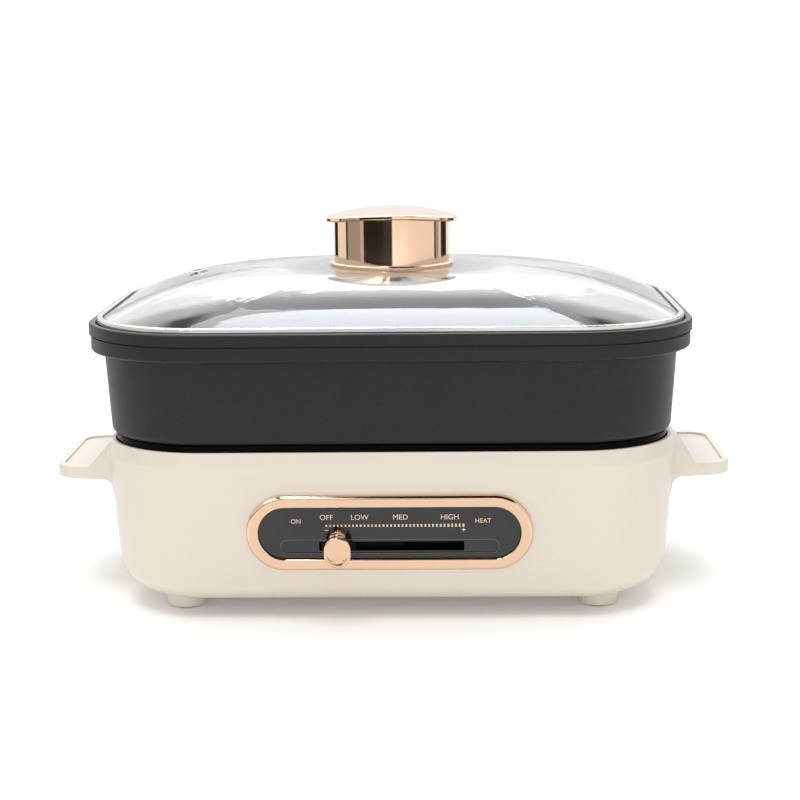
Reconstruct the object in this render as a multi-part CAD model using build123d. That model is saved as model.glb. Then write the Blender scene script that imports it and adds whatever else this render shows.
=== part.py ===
from build123d import *
import math
import os

# Electric cooking pan: a cream base with a slide control, a lift-off pan and a glass lid.
# Millimetres. The table is at z = 0, the front faces -Y and +X is to the right of the user.

# Fits shared by all pieces
overrun = 3.0
slide_gap = 0.3
seat_gap = 0.25
hole_gap = 0.25
pilot_gap = 0.04
running_gap = 0.05
quarter_turn = 90.0

# Base shell; the plan is measured at the crease below the top edge, and the draft is in degrees
base_length = 338.4
base_depth = 230.4
base_corner_radius = 62.0
base_draft = 4.0
base_wall = 3.0
base_height = 92.0
base_bottom_radius = 24.0
base_inner_radius = 17.0
crease_drop = 9.0
bevel_inset = 2.0
top_land = 1.8
floor_gap = 8.0

# Bottom cover, its ledge in the shell and its vents
cover_foot_gap = 12.0
cover_side_inset = 35.2
cover_corner_radius = 12.0
cover_thickness = 2.4
ledge_width = 9.0
ledge_thickness = 2.2
ledge_root = 4.0
vent_length = 42.0
vent_width = 4.0
vent_pitch = 11.0
vent_rows = 6
vent_columns = 2
vent_column_pitch = 66.0

# Feet
foot_radius = 12.0
foot_inset_x = 46.2
foot_inset_y = 41.2
foot_edge_radius = 1.2
pad_radius = 8.8
pad_depth = 1.6
pad_proud = 0.8
foot_boss_radius = 5.0
foot_boss_height = 14.0

# Handles
handle_rise = 71.5
handle_reach = 36.6
handle_span = 98.0
handle_corner_radius = 15.0
handle_tip_thickness = 7.4
handle_root_thickness = 9.0
handle_flare = 8.0
handle_shoulder_reach = 15.0
handle_shoulder_land = 0.6
handle_edge_radius = 1.6
handle_border = 4.0
handle_dish = 1.2
handle_skin = 2.8
handle_root_block = 8.5
handle_side_wall = 6.0
handle_screw_span = 60.0
handle_screw_drop = 5.0

# Screws
small_screw_radius = 1.5
small_head_radius = 2.9
small_head_height = 1.8
screw_radius = 2.0
screw_head_radius = 3.6
screw_head_height = 2.4
drive_slot_width = 0.9
head_round_share = 0.45
slot_depth_share = 0.5
slot_length_share = 1.3
cover_screw_length = 11.0
foot_screw_length = 15.0
handle_screw_length = 10.0
deck_screw_length = 16.0
bezel_screw_length = 8.0
retainer_screw_length = 5.0
bracket_screw_length = 6.0
inlet_screw_length = 10.0
slider_screw_length = 15.0

# Support ring between the base and the pan, and its posts
ring_gap = 0.8
ring_wall = 5.0
ring_rise = 4.0
ring_flange = 9.4
ring_flange_thickness = 3.0
ring_depth = 12.0
ring_edge_radius = 1.0
post_radius = 5.0
post_frame_gap = 6.0
post_place_y = 25.0

# Heater well
well_sheet = 1.2
well_depth = 14.0
well_floor_radius = 5.0
well_flange_gap = 0.8

# Heating element, its clips and bushes
element_radius = 3.3
element_pan_gap = 0.3
element_bend_radius = 16.0
element_side_inset = 51.2
element_end_inset = 43.2
element_inner_x = 40.0
element_end_x = 18.0
element_middle_share = 0.5
element_tail = 16.0
clip_width = 13.0
clip_sheet = 1.5
clip_foot = 9.0
clip_hug_share = 0.3
bush_radius = 6.5
bush_flange_radius = 8.5
bush_flange_height = 2.0
bush_length = 13.0

# Sprung temperature sensor under the middle of the pan
sensor_y = -18.0
sensor_cap_radius = 7.5
sensor_cap_height = 5.0
sensor_stem_radius = 3.0
sensor_wall = 1.4
sensor_floor = 2.0
sensor_sleeve_length = 27.0
sensor_sleeve_drop = 12.0
sensor_flange_width = 3.8
sensor_flange_height = 1.5
sensor_clip_radius = 5.2
sensor_clip_height = 1.4
sensor_stem_end = 1.5
spring_wall = 1.2

# Control panel and bezel; u runs to the right and v up the wall from the panel's middle
panel_rise = 45.2
bezel_length = 165.0
bezel_height = 45.0
bezel_width = 7.0
bezel_proud = 3.2
bezel_outer_round = 2.4
bezel_inner_round = 0.8
skirt_wall = 1.6
panel_recess = 2.0
panel_thickness = 2.6
panel_gap = 0.2
stud_place_u = 45.0
stud_radius = 2.6
lamp_place_u = 53.7
lamp_place_v = 6.9
lens_length = 9.0
lens_height = 4.6
lens_corner_radius = 1.4
lens_gap = 0.1
lamp_radius = 3.0
lamp_length = 8.0
lamp_socket_wall = 1.4

# Slide control
slot_place_u = 1.1
slot_place_v = -8.3
slot_length = 83.5
slot_end_gap = 1.0
tongue_length = 20.0
tongue_height = 5.0
track_length = 125.4
track_height = 8.0
track_depth = 0.8
thumb_width = 15.5
thumb_height = 18.5
thumb_standoff = 0.5
thumb_reach = 10.2
thumb_head_depth = 5.2
thumb_back_round = 0.8
neck_width = 10.0
neck_height = 16.0
neck_rise = 3.0
tongue_end_length = 8.0
thumb_edge_round = 1.2
thumb_rim = 1.7
thumb_dish = 0.9
thumb_slope = 14.0
thumb_crease_share = 0.1
frame_length = 168.0
frame_height = 48.0
frame_thickness = 3.0
rail_width = 2.5
rail_end_reach = 10.0
retainer_thickness = 1.5
retainer_height = 7.0
retainer_screw_span = 120.0
retainer_boss_radius = 3.2
carriage_thickness = 3.5
carriage_drop = 4.2
rack_rise = 4.0
rack_margin = 7.0
gear_module = 1.1
gear_teeth = 24
gear_backlash = 0.3
gear_room = 0.15
gear_dedendum_share = 1.25
pressure_angle = 20.0
flank_points = 5

# Thermostat
spindle_radius = 2.5
bush_wall = 1.9
thermostat_radius = 15.0
thermostat_depth = 18.0
thermostat_edge_radius = 1.5
bracket_sheet = 1.2
bracket_length = 54.0
bracket_height = 20.0
pillar_span = 42.0
pillar_radius = 3.5
nut_radius = 6.8
nut_height = 2.0
nut_sides = 6
nut_gap = 0.6
tab_width = 6.3
tab_thickness = 0.8
tab_length = 8.0
tab_span = 14.0

# Power inlet at the back
inlet_place_x = 60.0
inlet_rise = 36.0
inlet_flange_length = 50.0
inlet_flange_height = 28.0
inlet_flange_radius = 4.0
inlet_flange_thickness = 2.5
inlet_barrel_length = 30.0
inlet_barrel_height = 22.0
inlet_barrel_depth = 20.0
inlet_mouth_length = 24.6
inlet_mouth_height = 16.6
inlet_mouth_radius = 3.0
inlet_mouth_depth = 15.5
inlet_screw_span = 40.0
inlet_boss_radius = 4.0
inlet_boss_length = 7.0
pin_width = 2.0
pin_height = 4.0
pin_length = 10.0
pin_tail = 8.0
pin_span = 14.0
pin_rise = 2.0

# Thermal fuse under the well, and the inner leads: each lead has points at shares of the straight way
# between its ends, moved off that way by the offsets
fuse_length = 24.0
fuse_width = 9.0
fuse_height = 5.0
fuse_place_x = 45.0
fuse_inset = 12.0
lead_radius = 1.5
lead_gap = 0.9
bend_share = 0.45
inlet_lead_shares = [0.08, 0.28, 0.53, 0.76, 0.9]
inlet_lead_offsets = [(4.0, 0.0, -4.5), (7.0, 0.0, -12.5), (8.5, 0.0, -19.0), (6.0, 0.0, -17.0),
                      (-1.5, 0.0, -5.5)]
heater_lead_shares = [0.09, 0.25, 0.53, 0.79, 0.96]
heater_lead_offsets = [(-1.0, 0.0, -5.0), (-7.0, 0.0, -17.0), (-11.5, 0.0, -22.5), (-10.5, 0.0, -22.5),
                       (-3.0, 0.0, -14.0)]
fuse_lead_shares = [0.05, 0.3, 0.6, 0.8]
fuse_lead_offsets = [(-0.7, 0.0, -7.8), (-0.2, -2.4, -13.4), (-1.5, -3.8, -8.7), (-3.3, -2.4, -1.1)]
return_lead_shares = [0.1, 0.45, 0.8]
return_lead_offsets = [(7.1, -0.3, -1.4), (8.3, -0.4, -2.8), (2.0, -2.0, -3.1)]

# Pan; its draft is in degrees
pan_height = 66.0
pan_wall = 3.6
pan_floor = 4.0
pan_draft = 3.8
pan_foot_inset = 2.4
pan_bottom_radius = 4.0
pan_inner_radius = 10.0
band_overhang = 7.6
band_height = 8.6
band_edge_radius = 1.6
groove_height = 1.2
groove_depth = 0.9
lip_step = 1.0
lip_height = 6.8
lip_wall = 4.2
lip_edge_radius = 1.4
lid_ledge_drop = 7.0

# Lid: the dome rises from the glass edge to a flat seat for the knob
lid_gap = 0.6
hoop_height = 9.8
hoop_sheet = 0.9
hoop_top_lip = 3.2
hoop_bottom_lip = 6.0
hoop_edge_radius = 0.6
glass_thickness = 4.0
glass_gap = 0.15
glass_brim = 3.5
dome_rise = 24.3
dome_steps = 6
dome_power = 2.4
seat_length = 120.0
seat_depth = 92.0
seat_corner_radius = 44.0
vent_inset = 47.2
vent_place_y = 14.0
eyelet_bore_radius = 3.2
eyelet_wall = 0.9
eyelet_lip = 2.6
eyelet_lip_height = 0.9
eyelet_gap = 0.4

# Lid knob
knob_radius = 35.6
knob_height = 30.0
knob_wall = 3.4
knob_floor = 3.0
knob_lip_out = 2.8
knob_lip_height = 2.0
knob_lip_round = 0.9
knob_boss_radius = 7.0
knob_boss_height = 14.0
cap_overhang = 4.9
cap_thickness = 2.8
cap_arch_radius = 220.0
cap_edge_radius = 0.8
cap_spigot_depth = 4.0
cap_spigot_wall = 2.4
lid_screw_radius = 2.5
lid_screw_length = 20.0
lid_screw_head_radius = 6.0
lid_screw_head_height = 3.4
washer_radius = 10.0
washer_thickness = 1.6
peg_place_x = 31.0
peg_radius = 2.0
peg_head_radius = 3.6
peg_head_height = 2.4
peg_depth = 6.0

# Places, heights and growths worked out from the sizes above
foot_place_x = base_length / 2 - foot_inset_x
foot_place_y = base_depth / 2 - foot_inset_y
cover_length = 2 * (foot_place_x - foot_boss_radius - cover_foot_gap)
cover_depth = base_depth - 2 * cover_side_inset
element_outer_x = base_length / 2 - element_side_inset
element_back_y = base_depth / 2 - element_end_inset
element_front_y = -element_back_y
element_middle_y = element_back_y * element_middle_share
fuse_place_y = element_back_y - fuse_inset
vent_place_x = vent_inset - base_length / 2
base_low = floor_gap
base_top = base_low + base_height
crease_z = base_top - crease_drop
hollow_inset = base_wall / math.cos(math.radians(base_draft))
pan_low = base_top + ring_rise
pan_top = pan_low + pan_height
lip_low = pan_top - lip_height
band_top = lip_low - groove_height
band_low = band_top - band_height
ledge_z = pan_top - lid_ledge_drop
ring_growth = -bevel_inset - top_land - ring_gap
collar_inner_growth = ring_growth - ring_wall
flange_inner_growth = collar_inner_growth - ring_flange
ring_low = pan_low - ring_depth
flange_top = ring_low + ring_flange_thickness
well_floor_top = flange_top + well_sheet - well_depth
well_low = well_floor_top - well_sheet
element_z = pan_low - element_pan_gap - element_radius
slider_travel = slot_length - tongue_length - 2 * slot_end_gap
slider_start_u = slot_place_u - slider_travel / 2
pitch_radius = gear_module * gear_teeth / 2
rack_pitch = math.pi * gear_module
pinion_v = slot_place_v + rack_rise + pitch_radius + gear_room
fascia_front = bezel_proud - panel_recess
fascia_back = fascia_front - panel_thickness
rail_length = retainer_screw_span + 2 * rail_end_reach
frame_front = -base_wall
frame_back = frame_front - frame_thickness
carriage_front = frame_back - slide_gap
carriage_back = carriage_front - carriage_thickness
rail_back = carriage_back - slide_gap
nut_front = carriage_back - nut_gap
bracket_front = nut_front - nut_height
bracket_back = bracket_front - bracket_sheet
can_back = bracket_back - thermostat_depth


def pan_growth(height):
    """How far the pan's outer wall stands out from the crease plan at a height."""
    return (height - pan_low) * math.tan(math.radians(pan_draft)) - pan_foot_inset


band_growth = pan_growth(band_low) + band_overhang
lip_growth = band_growth + lip_step
lid_growth = lip_growth - lip_wall - lid_gap
glass_growth = lid_growth - hoop_sheet - glass_gap
dome_growth = lid_growth - hoop_top_lip - glass_gap
glass_edge_z = ledge_z + hoop_height - hoop_sheet - glass_gap
seat_z = glass_edge_z + dome_rise
knob_top = seat_z + knob_height


def wall_growth(height):
    """How far the base wall stands out from the crease plan at a height."""
    return (height - crease_z) * math.tan(math.radians(base_draft))


def outline(growth):
    """Rounded plan of the base at its crease, grown outwards by a length."""
    return RectangleRounded(base_length + 2 * growth, base_depth + 2 * growth, base_corner_radius + growth)


def slab(growth, low, high):
    """Straight prism of the plan between two heights."""
    return extrude(Pos(0, 0, low) * outline(growth), high - low)


def leaning_prism(growth, high, low, lean):
    """Prism of the plan that narrows downwards from one height to a lower one."""
    return Pos(0, 0, high) * (Rot(2 * quarter_turn, 0, 0) * extrude(outline(growth), high - low, taper=lean))


def rod(radius, low, high):
    """Upright cylinder between two heights on the local axis."""
    return Pos(0, 0, low) * extrude(Circle(radius), high - low)


def tube(outer_radius, inner_radius, low, high):
    """Upright tube between two heights on the local axis."""
    return rod(outer_radius, low, high) - rod(inner_radius, low - overrun, high + overrun)


def plate(length, height, radius, low, high):
    """Rounded plate between two heights on the local axis."""
    return Pos(0, 0, low) * extrude(RectangleRounded(length, height, radius), high - low)


def stadium(length, height, low, high):
    """Round-ended plate between two heights on the local axis."""
    return Pos(0, 0, low) * extrude(SlotOverall(length, height), high - low)


def bar(u_low, u_high, v_low, v_high, w_low, w_high):
    """Square-cornered bar between six limits."""
    sides = (u_high - u_low, v_high - v_low, w_high - w_low)
    return Pos(u_low, v_low, w_low) * Box(*sides, align=(Align.MIN, Align.MIN, Align.MIN))


def corners(place_x, place_y):
    """The four places of a pattern that mirrors left to right and front to back."""
    return [(side_x * place_x, side_y * place_y) for side_x in (-1, 1) for side_y in (-1, 1)]


def plan_edge(across, growth):
    """Half depth of the base plan, grown by an amount, at a place across it."""
    radius = base_corner_radius + growth
    past = max(0, across - (base_length / 2 - base_corner_radius))
    return base_depth / 2 - base_corner_radius + math.sqrt(radius ** 2 - past ** 2)


def wall_plane(across, height, facing):
    """Plane on the outer wall at the front (facing -1) or back (facing 1), its normal outwards."""
    reach = base_depth / 2 + wall_growth(height)
    lean = math.radians(base_draft)
    normal = (0, facing * math.cos(lean), -math.sin(lean))
    return Plane(origin=(across, facing * reach, height), x_dir=(-facing, 0, 0), z_dir=normal)


def screw(radius, length, head_radius, head_height):
    """Round-head screw pointing down from the underside of its head, with a cross slot."""
    head = rod(head_radius, 0, head_height)
    head = fillet(head.edges().group_by(Axis.Z)[-1], head_height * head_round_share)
    shank = rod(radius, -length, 0)
    slot_low = head_height * (1 - slot_depth_share)
    half_length = head_radius * slot_length_share / 2
    half_width = drive_slot_width / 2
    slot = bar(-half_length, half_length, -half_width, half_width, slot_low, head_height + overrun)
    return head + shank - slot - Rot(0, 0, quarter_turn) * slot


def small_screw(length):
    """Screw of the smaller size used on the covers and the controls."""
    return screw(small_screw_radius, length, small_head_radius, small_head_height)


def group(pieces):
    """Several separate solids kept in one node."""
    return Compound([solid for piece in pieces for solid in piece.solids()])


panel_plane = wall_plane(0, base_low + panel_rise, -1)
inlet_plane = wall_plane(inlet_place_x, base_low + inlet_rise, 1)
underside = Plane(origin=(0, 0, base_low), x_dir=(1, 0, 0), z_dir=(0, 0, -1))
deck_growth = (collar_inner_growth + flange_inner_growth) / 2
post_place_x = frame_length / 2 + post_frame_gap + post_radius
deck_places = corners(base_length / 2 + deck_growth, post_place_y)
deck_places += corners(post_place_x, plan_edge(post_place_x, deck_growth))
cover_places = corners(cover_length / 2 - ledge_width / 2, cover_depth / 4)
cover_places += corners(cover_length / 4, cover_depth / 2 - ledge_width / 2)
foot_places = corners(foot_place_x, foot_place_y)
stud_places = corners(stud_place_u, (bezel_height - bezel_width) / 2)
lamp_places = [(-lamp_place_u, lamp_place_v), (lamp_place_u, lamp_place_v)]


def base_form():
    """Solid outer form of the base, without its hollow."""
    lower = leaning_prism(0, crease_z, base_low, base_draft)
    lower = fillet(lower.edges().group_by(Axis.Z)[0], base_bottom_radius)
    bevel = math.degrees(math.atan(bevel_inset / crease_drop))
    return lower + extrude(Pos(0, 0, crease_z) * outline(0), crease_drop, taper=bevel)


def base_hollow():
    """Space inside the walls of the base, up through its top opening."""
    lower = leaning_prism(-hollow_inset, crease_z, base_low + base_wall, base_draft)
    lower = fillet(lower.edges().group_by(Axis.Z)[0], base_inner_radius)
    return lower + slab(-bevel_inset - top_land, crease_z, base_top + overrun)


def handle_screw_planes():
    """Planes on the inside of the right wall at each handle screw, facing inwards."""
    height = base_low + handle_rise - handle_screw_drop
    reach = base_length / 2 + wall_growth(height) - hollow_inset
    lean = math.radians(base_draft)
    normal = (-math.cos(lean), 0, math.sin(lean))
    places = (-handle_screw_span / 2, handle_screw_span / 2)
    return [Plane(origin=(reach, place, height), x_dir=(0, 1, 0), z_dir=normal) for place in places]


def cover_opening(growth, low, high):
    """Cutter for the opening that the bottom cover closes."""
    length = cover_length + 2 * growth
    return plate(length, cover_depth + 2 * growth, cover_corner_radius + growth, low, high)


def base_shell():
    """Moulded tub with posts for the deck, bosses for feet and cover, and openings for the controls."""
    hollow = base_hollow()
    floor_top = base_low + base_wall
    ledge_low = base_low + cover_thickness
    ledge_top = ledge_low + ledge_thickness
    post = rod(post_radius, floor_top, ring_low)
    foot_boss = rod(foot_boss_radius, base_low, floor_top + foot_boss_height)
    cover_boss = rod(ledge_width / 2, ledge_low, base_low + cover_screw_length)
    fittings = [Pos(x, y, 0) * post for x, y in deck_places]
    fittings += [Pos(x, y, 0) * foot_boss for x, y in foot_places]
    fittings += [Pos(x, y, 0) * cover_boss for x, y in cover_places]
    fittings = Part() + fittings
    ledge = cover_opening(ledge_root, ledge_low, ledge_top)
    ledge -= cover_opening(-ledge_width, ledge_low - overrun, ledge_top + overrun)
    form = base_form()
    shell = form - hollow
    shell += (fittings + ledge) & form
    shell -= cover_opening(-ledge_width, base_low - overrun, floor_top + overrun) - ledge - fittings
    shell -= cover_opening(seat_gap, base_low - overrun, ledge_low)
    inlet_boss = rod(inlet_boss_radius, -base_wall - inlet_boss_length, -base_wall / 2)
    shell += [inlet_plane * Pos(u, 0, 0) * inlet_boss for u in (-inlet_screw_span / 2, inlet_screw_span / 2)]
    return shell - shell_holes()


def shell_holes():
    """Cutters for the screws, the control panel and the power inlet."""
    pilot = small_screw_radius + pilot_gap
    deck_hole = rod(pilot, ring_low - deck_screw_length, ring_low + overrun)
    cover_hole = rod(pilot, base_low - overrun, base_low + cover_screw_length + overrun)
    foot_hole = rod(screw_radius + pilot_gap, base_low - overrun, base_low + foot_screw_length)
    cuts = [Pos(x, y, 0) * deck_hole for x, y in deck_places]
    cuts += [Pos(x, y, 0) * cover_hole for x, y in cover_places]
    cuts += [Pos(x, y, 0) * foot_hole for x, y in foot_places]
    through = base_wall + overrun
    aperture_length = bezel_length - 2 * (bezel_width - skirt_wall - hole_gap)
    aperture_height = bezel_height - 2 * (bezel_width - skirt_wall - hole_gap)
    cuts.append(panel_plane * stadium(aperture_length, aperture_height, -through, overrun))
    cuts.append(panel_plane * stadium(frame_length + 2 * hole_gap, frame_height + 2 * hole_gap,
                                      frame_back - overrun, frame_front))
    stud_hole = rod(stud_radius + hole_gap, -through, overrun)
    cuts += [panel_plane * Pos(u, v, 0) * stud_hole for u, v in stud_places]
    cuts.append(inlet_plane * plate(inlet_barrel_length + 2 * hole_gap, inlet_barrel_height + 2 * hole_gap,
                                    inlet_mouth_radius + hole_gap, -through, overrun))
    inlet_hole = rod(pilot, -through - inlet_boss_length, overrun)
    cuts += [inlet_plane * Pos(u, 0, 0) * inlet_hole for u in (-inlet_screw_span / 2, inlet_screw_span / 2)]
    for plane in handle_screw_planes():
        hole = plane * rod(screw_radius + hole_gap, -through, overrun)
        cuts += [hole, mirror(hole, about=Plane.YZ)]
    return Part() + cuts


def handle(form):
    """Right-hand grip: a dished shelf with a finger hollow and a shoulder that slopes up to the wall's crease."""
    top = base_low + handle_rise
    wall_x = base_length / 2 + wall_growth(top)
    tip_x = wall_x + handle_reach
    inside_x = wall_x - handle_reach / 2
    low_x = wall_x + wall_growth(top - handle_root_thickness) - wall_growth(top)
    root_low = top - handle_root_thickness
    foot_z = root_low - handle_flare
    crest_x = base_length / 2 + handle_shoulder_land
    ramp_x = wall_x + handle_shoulder_reach
    side = Polyline((inside_x, crease_z), (crest_x, crease_z), (ramp_x, top), (tip_x, top),
                    (tip_x, top - handle_tip_thickness), (low_x, root_low), (low_x, foot_z), (inside_x, foot_z),
                    close=True)
    side = make_face(side)
    side = fillet(side.vertices().sort_by_distance((low_x, root_low, 0))[0], handle_flare)
    length = handle_span / 2 + handle_flare
    body = extrude(Plane.XZ * side, length, both=True)
    half = handle_span / 2
    plan = Polyline((inside_x, -length), (wall_x, -length), (wall_x, -half), (tip_x, -half), (tip_x, half),
                    (wall_x, half), (wall_x, length), (inside_x, length), close=True)
    plan = make_face(plan)
    for end in (-half, half):
        plan = fillet(plan.vertices().sort_by_distance((tip_x, end, 0))[0], handle_corner_radius)
        plan = fillet(plan.vertices().sort_by_distance((wall_x, end, 0))[0], handle_flare)
    body = body & extrude(Pos(0, 0, foot_z) * plan, crease_z - foot_z)
    outer = body.edges().filter_by_position(Axis.X, ramp_x + slide_gap, tip_x + overrun)
    body = fillet(outer.filter_by_position(Axis.Z, top - slide_gap, top + slide_gap), handle_edge_radius)
    dish_length = tip_x - handle_border - inside_x
    dish = plate(dish_length, handle_span - 2 * handle_border, handle_corner_radius - handle_border,
                 top - handle_dish, top + overrun)
    dish = Pos(inside_x + dish_length / 2, 0, 0) * dish
    body -= dish - bar(inside_x - overrun, ramp_x, -handle_span, handle_span, foot_z, crease_z)
    grip_low_x = wall_x + handle_root_block
    grip_length = tip_x - handle_side_wall - grip_low_x
    grip = plate(grip_length, handle_span - 2 * handle_side_wall, handle_corner_radius - handle_side_wall,
                 foot_z, top - handle_dish - handle_skin)
    body -= Pos(grip_low_x + grip_length / 2, 0, 0) * grip
    pilots = [plane * rod(screw_radius + pilot_gap, -handle_screw_length - slide_gap, overrun)
              for plane in handle_screw_planes()]
    return body - form - pilots


def handle_screws():
    """Two screws for each handle, put in from inside the base."""
    pair = [plane * screw(screw_radius, handle_screw_length, screw_head_radius, screw_head_height)
            for plane in handle_screw_planes()]
    return group(pair + [mirror(piece, about=Plane.YZ) for piece in pair])


def bottom_cover():
    """Flush plate under the base, with two columns of vent slots."""
    cover = cover_opening(0, base_low, base_low + cover_thickness)
    high = base_low + cover_thickness + overrun
    slot = stadium(vent_length, vent_width, base_low - overrun, high)
    columns = [(column - (vent_columns - 1) / 2) * vent_column_pitch for column in range(vent_columns)]
    rows = [(row - (vent_rows - 1) / 2) * vent_pitch for row in range(vent_rows)]
    cover -= [Pos(x, y, 0) * slot for x in columns for y in rows]
    hole = rod(small_screw_radius + hole_gap, base_low - overrun, high)
    return cover - [Pos(x, y, 0) * hole for x, y in cover_places]


def cover_screws():
    """Screws that hold the bottom cover, put in from below."""
    return group([underside * Pos(x, -y, 0) * small_screw(cover_screw_length) for x, y in cover_places])


def foot():
    """Round foot on its own axis, with a counterbore for its screw and a seat for its pad."""
    low = pad_proud
    body = fillet(rod(foot_radius, low, base_low).edges().group_by(Axis.Z)[0], foot_edge_radius)
    body -= rod(pad_radius + seat_gap, 0, low + pad_depth)
    body -= rod(screw_head_radius + hole_gap, 0, low + pad_depth + screw_head_height)
    return body - rod(screw_radius + hole_gap, 0, base_low + overrun)


def foot_screws():
    """Screws that hold the feet, with their heads above the pads."""
    head_seat = pad_proud + pad_depth + screw_head_height
    reach = base_low + foot_screw_length - slide_gap - head_seat
    piece = screw(screw_radius, reach, screw_head_radius, screw_head_height)
    return group([Pos(x, y, head_seat) * (Rot(2 * quarter_turn, 0, 0) * piece) for x, y in foot_places])


def foot_pads():
    """Rubber discs that stand on the table."""
    return group([Pos(x, y, 0) * rod(pad_radius, 0, pad_proud + pad_depth) for x, y in foot_places])


def support_ring():
    """Black collar that carries the pan, with an inner flange on the posts."""
    collar = slab(ring_growth, ring_low, pan_low)
    collar = fillet(collar.edges().group_by(Axis.Z)[-1], ring_edge_radius)
    collar -= slab(collar_inner_growth, flange_top, pan_low + overrun)
    collar -= slab(flange_inner_growth, ring_low - overrun, flange_top + overrun)
    hole = rod(small_screw_radius + hole_gap, ring_low - overrun, flange_top + overrun)
    return collar - [Pos(x, y, 0) * hole for x, y in deck_places]


def heater_well():
    """Pressed steel tray under the pan, hung by its flange on the support ring."""
    outer_growth = flange_inner_growth - well_flange_gap
    tray = slab(outer_growth, well_low, flange_top)
    tray = fillet(tray.edges().group_by(Axis.Z)[0], well_floor_radius)
    tray += slab(collar_inner_growth - well_flange_gap, flange_top, flange_top + well_sheet)
    hollow = slab(outer_growth - well_sheet, well_floor_top, flange_top + well_sheet + overrun)
    tray -= fillet(hollow.edges().group_by(Axis.Z)[0], well_floor_radius - well_sheet)
    low = well_low - overrun
    high = flange_top + well_sheet + overrun
    hole = rod(small_screw_radius + hole_gap, low, high)
    tray -= [Pos(x, y, 0) * hole for x, y in deck_places]
    bush_hole = rod(bush_radius + seat_gap, low, high)
    tray -= [Pos(x, element_back_y, 0) * bush_hole for x in (-element_end_x, element_end_x)]
    return tray - Pos(0, sensor_y, 0) * rod(sensor_sleeve_radius() + seat_gap, low, high)


def deck_screws():
    """Screws through the well and the ring into the posts."""
    reach = deck_screw_length + ring_flange_thickness + well_sheet - slide_gap
    return group([Pos(x, y, flange_top + well_sheet) * small_screw(reach) for x, y in deck_places])


def heating_element():
    """Bent tube heater just under the pan, with both ends turned down through the well."""
    end_z = well_low - element_tail
    half = [(element_end_x, element_back_y, end_z), (element_end_x, element_back_y, element_z),
            (element_outer_x, element_back_y, element_z), (element_outer_x, element_front_y, element_z),
            (element_inner_x, element_front_y, element_z), (element_inner_x, element_middle_y, element_z)]
    path = FilletPolyline(*half, *[(-x, y, z) for x, y, z in reversed(half)], radius=element_bend_radius)
    return sweep(Plane(origin=half[0], z_dir=(0, 0, 1)) * Circle(element_radius), path)


def element_clips():
    """Sheet brackets that stand on the well and hold the heater."""
    height = element_z - element_radius * clip_hug_share - well_floor_top
    blade = bar(-clip_width / 2, clip_width / 2, -clip_sheet / 2, clip_sheet / 2, 0, height)
    blade += bar(-clip_width / 2, clip_width / 2, -clip_sheet / 2, clip_foot, 0, clip_sheet)
    tube_space = Rot(quarter_turn, 0, 0) * rod(element_radius + seat_gap, -clip_width, clip_width)
    blade -= Pos(0, 0, element_z - well_floor_top) * tube_space
    run_x = (element_inner_x + element_outer_x) / 2
    along = [(-element_outer_x, 0), (element_outer_x, 0)]
    across = [(-run_x, element_front_y), (run_x, element_front_y), (0, element_middle_y)]
    turned = Rot(0, 0, quarter_turn) * blade
    clips = [Pos(x, y, well_floor_top) * blade for x, y in along]
    return group(clips + [Pos(x, y, well_floor_top) * turned for x, y in across])


def element_bushes():
    """Ceramic bushes where the heater's ends pass through the well."""
    low = well_floor_top + bush_flange_height - bush_length
    bush = rod(bush_radius, low, well_floor_top) + rod(bush_flange_radius, well_floor_top,
                                                       well_floor_top + bush_flange_height)
    bush -= rod(element_radius + seat_gap, low - overrun, well_floor_top + bush_length)
    return group([Pos(x, element_back_y, 0) * bush for x in (-element_end_x, element_end_x)])


def sensor_sleeve_radius():
    """Outer radius of the sensor's guide."""
    return sensor_cap_radius + slide_gap + sensor_wall


def sensor_sleeve():
    """Guide of the sensor, hung in the well by its flange."""
    low = well_low - sensor_sleeve_drop
    radius = sensor_sleeve_radius()
    body = rod(radius, low, low + sensor_sleeve_length)
    body += rod(radius + sensor_flange_width, well_floor_top, well_floor_top + sensor_flange_height)
    body -= rod(radius - sensor_wall, low + sensor_floor, low + sensor_sleeve_length + overrun)
    return Pos(0, sensor_y, 0) * (body - rod(sensor_stem_radius + slide_gap, low - overrun, low + overrun))


def sensor_cap():
    """Metal cap that the pan presses down, on its stem."""
    top = pan_low - element_pan_gap
    stem_low = well_low - sensor_sleeve_drop - slide_gap - sensor_clip_height - sensor_stem_end
    cap = rod(sensor_cap_radius, top - sensor_cap_height, top)
    return Pos(0, sensor_y, 0) * (cap + rod(sensor_stem_radius, stem_low, top - sensor_cap_height))


def sensor_clip():
    """Ring that stops the stem from leaving the guide."""
    high = well_low - sensor_sleeve_drop - slide_gap
    return Pos(0, sensor_y, 0) * tube(sensor_clip_radius, sensor_stem_radius + pilot_gap,
                                      high - sensor_clip_height, high)


def sensor_spring():
    """Closed outer form of the coil between the guide's floor and the cap."""
    low = well_low - sensor_sleeve_drop + sensor_floor
    high = pan_low - element_pan_gap - sensor_cap_height
    middle = (sensor_stem_radius + sensor_cap_radius) / 2
    return Pos(0, sensor_y, 0) * tube(middle + spring_wall / 2, middle - spring_wall / 2, low, high)


def panel_opening(gap, low, high):
    """Form of the bezel's opening, drawn in by a gap."""
    length = bezel_length - 2 * (bezel_width + gap)
    return stadium(length, bezel_height - 2 * (bezel_width + gap), low, high)


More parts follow.
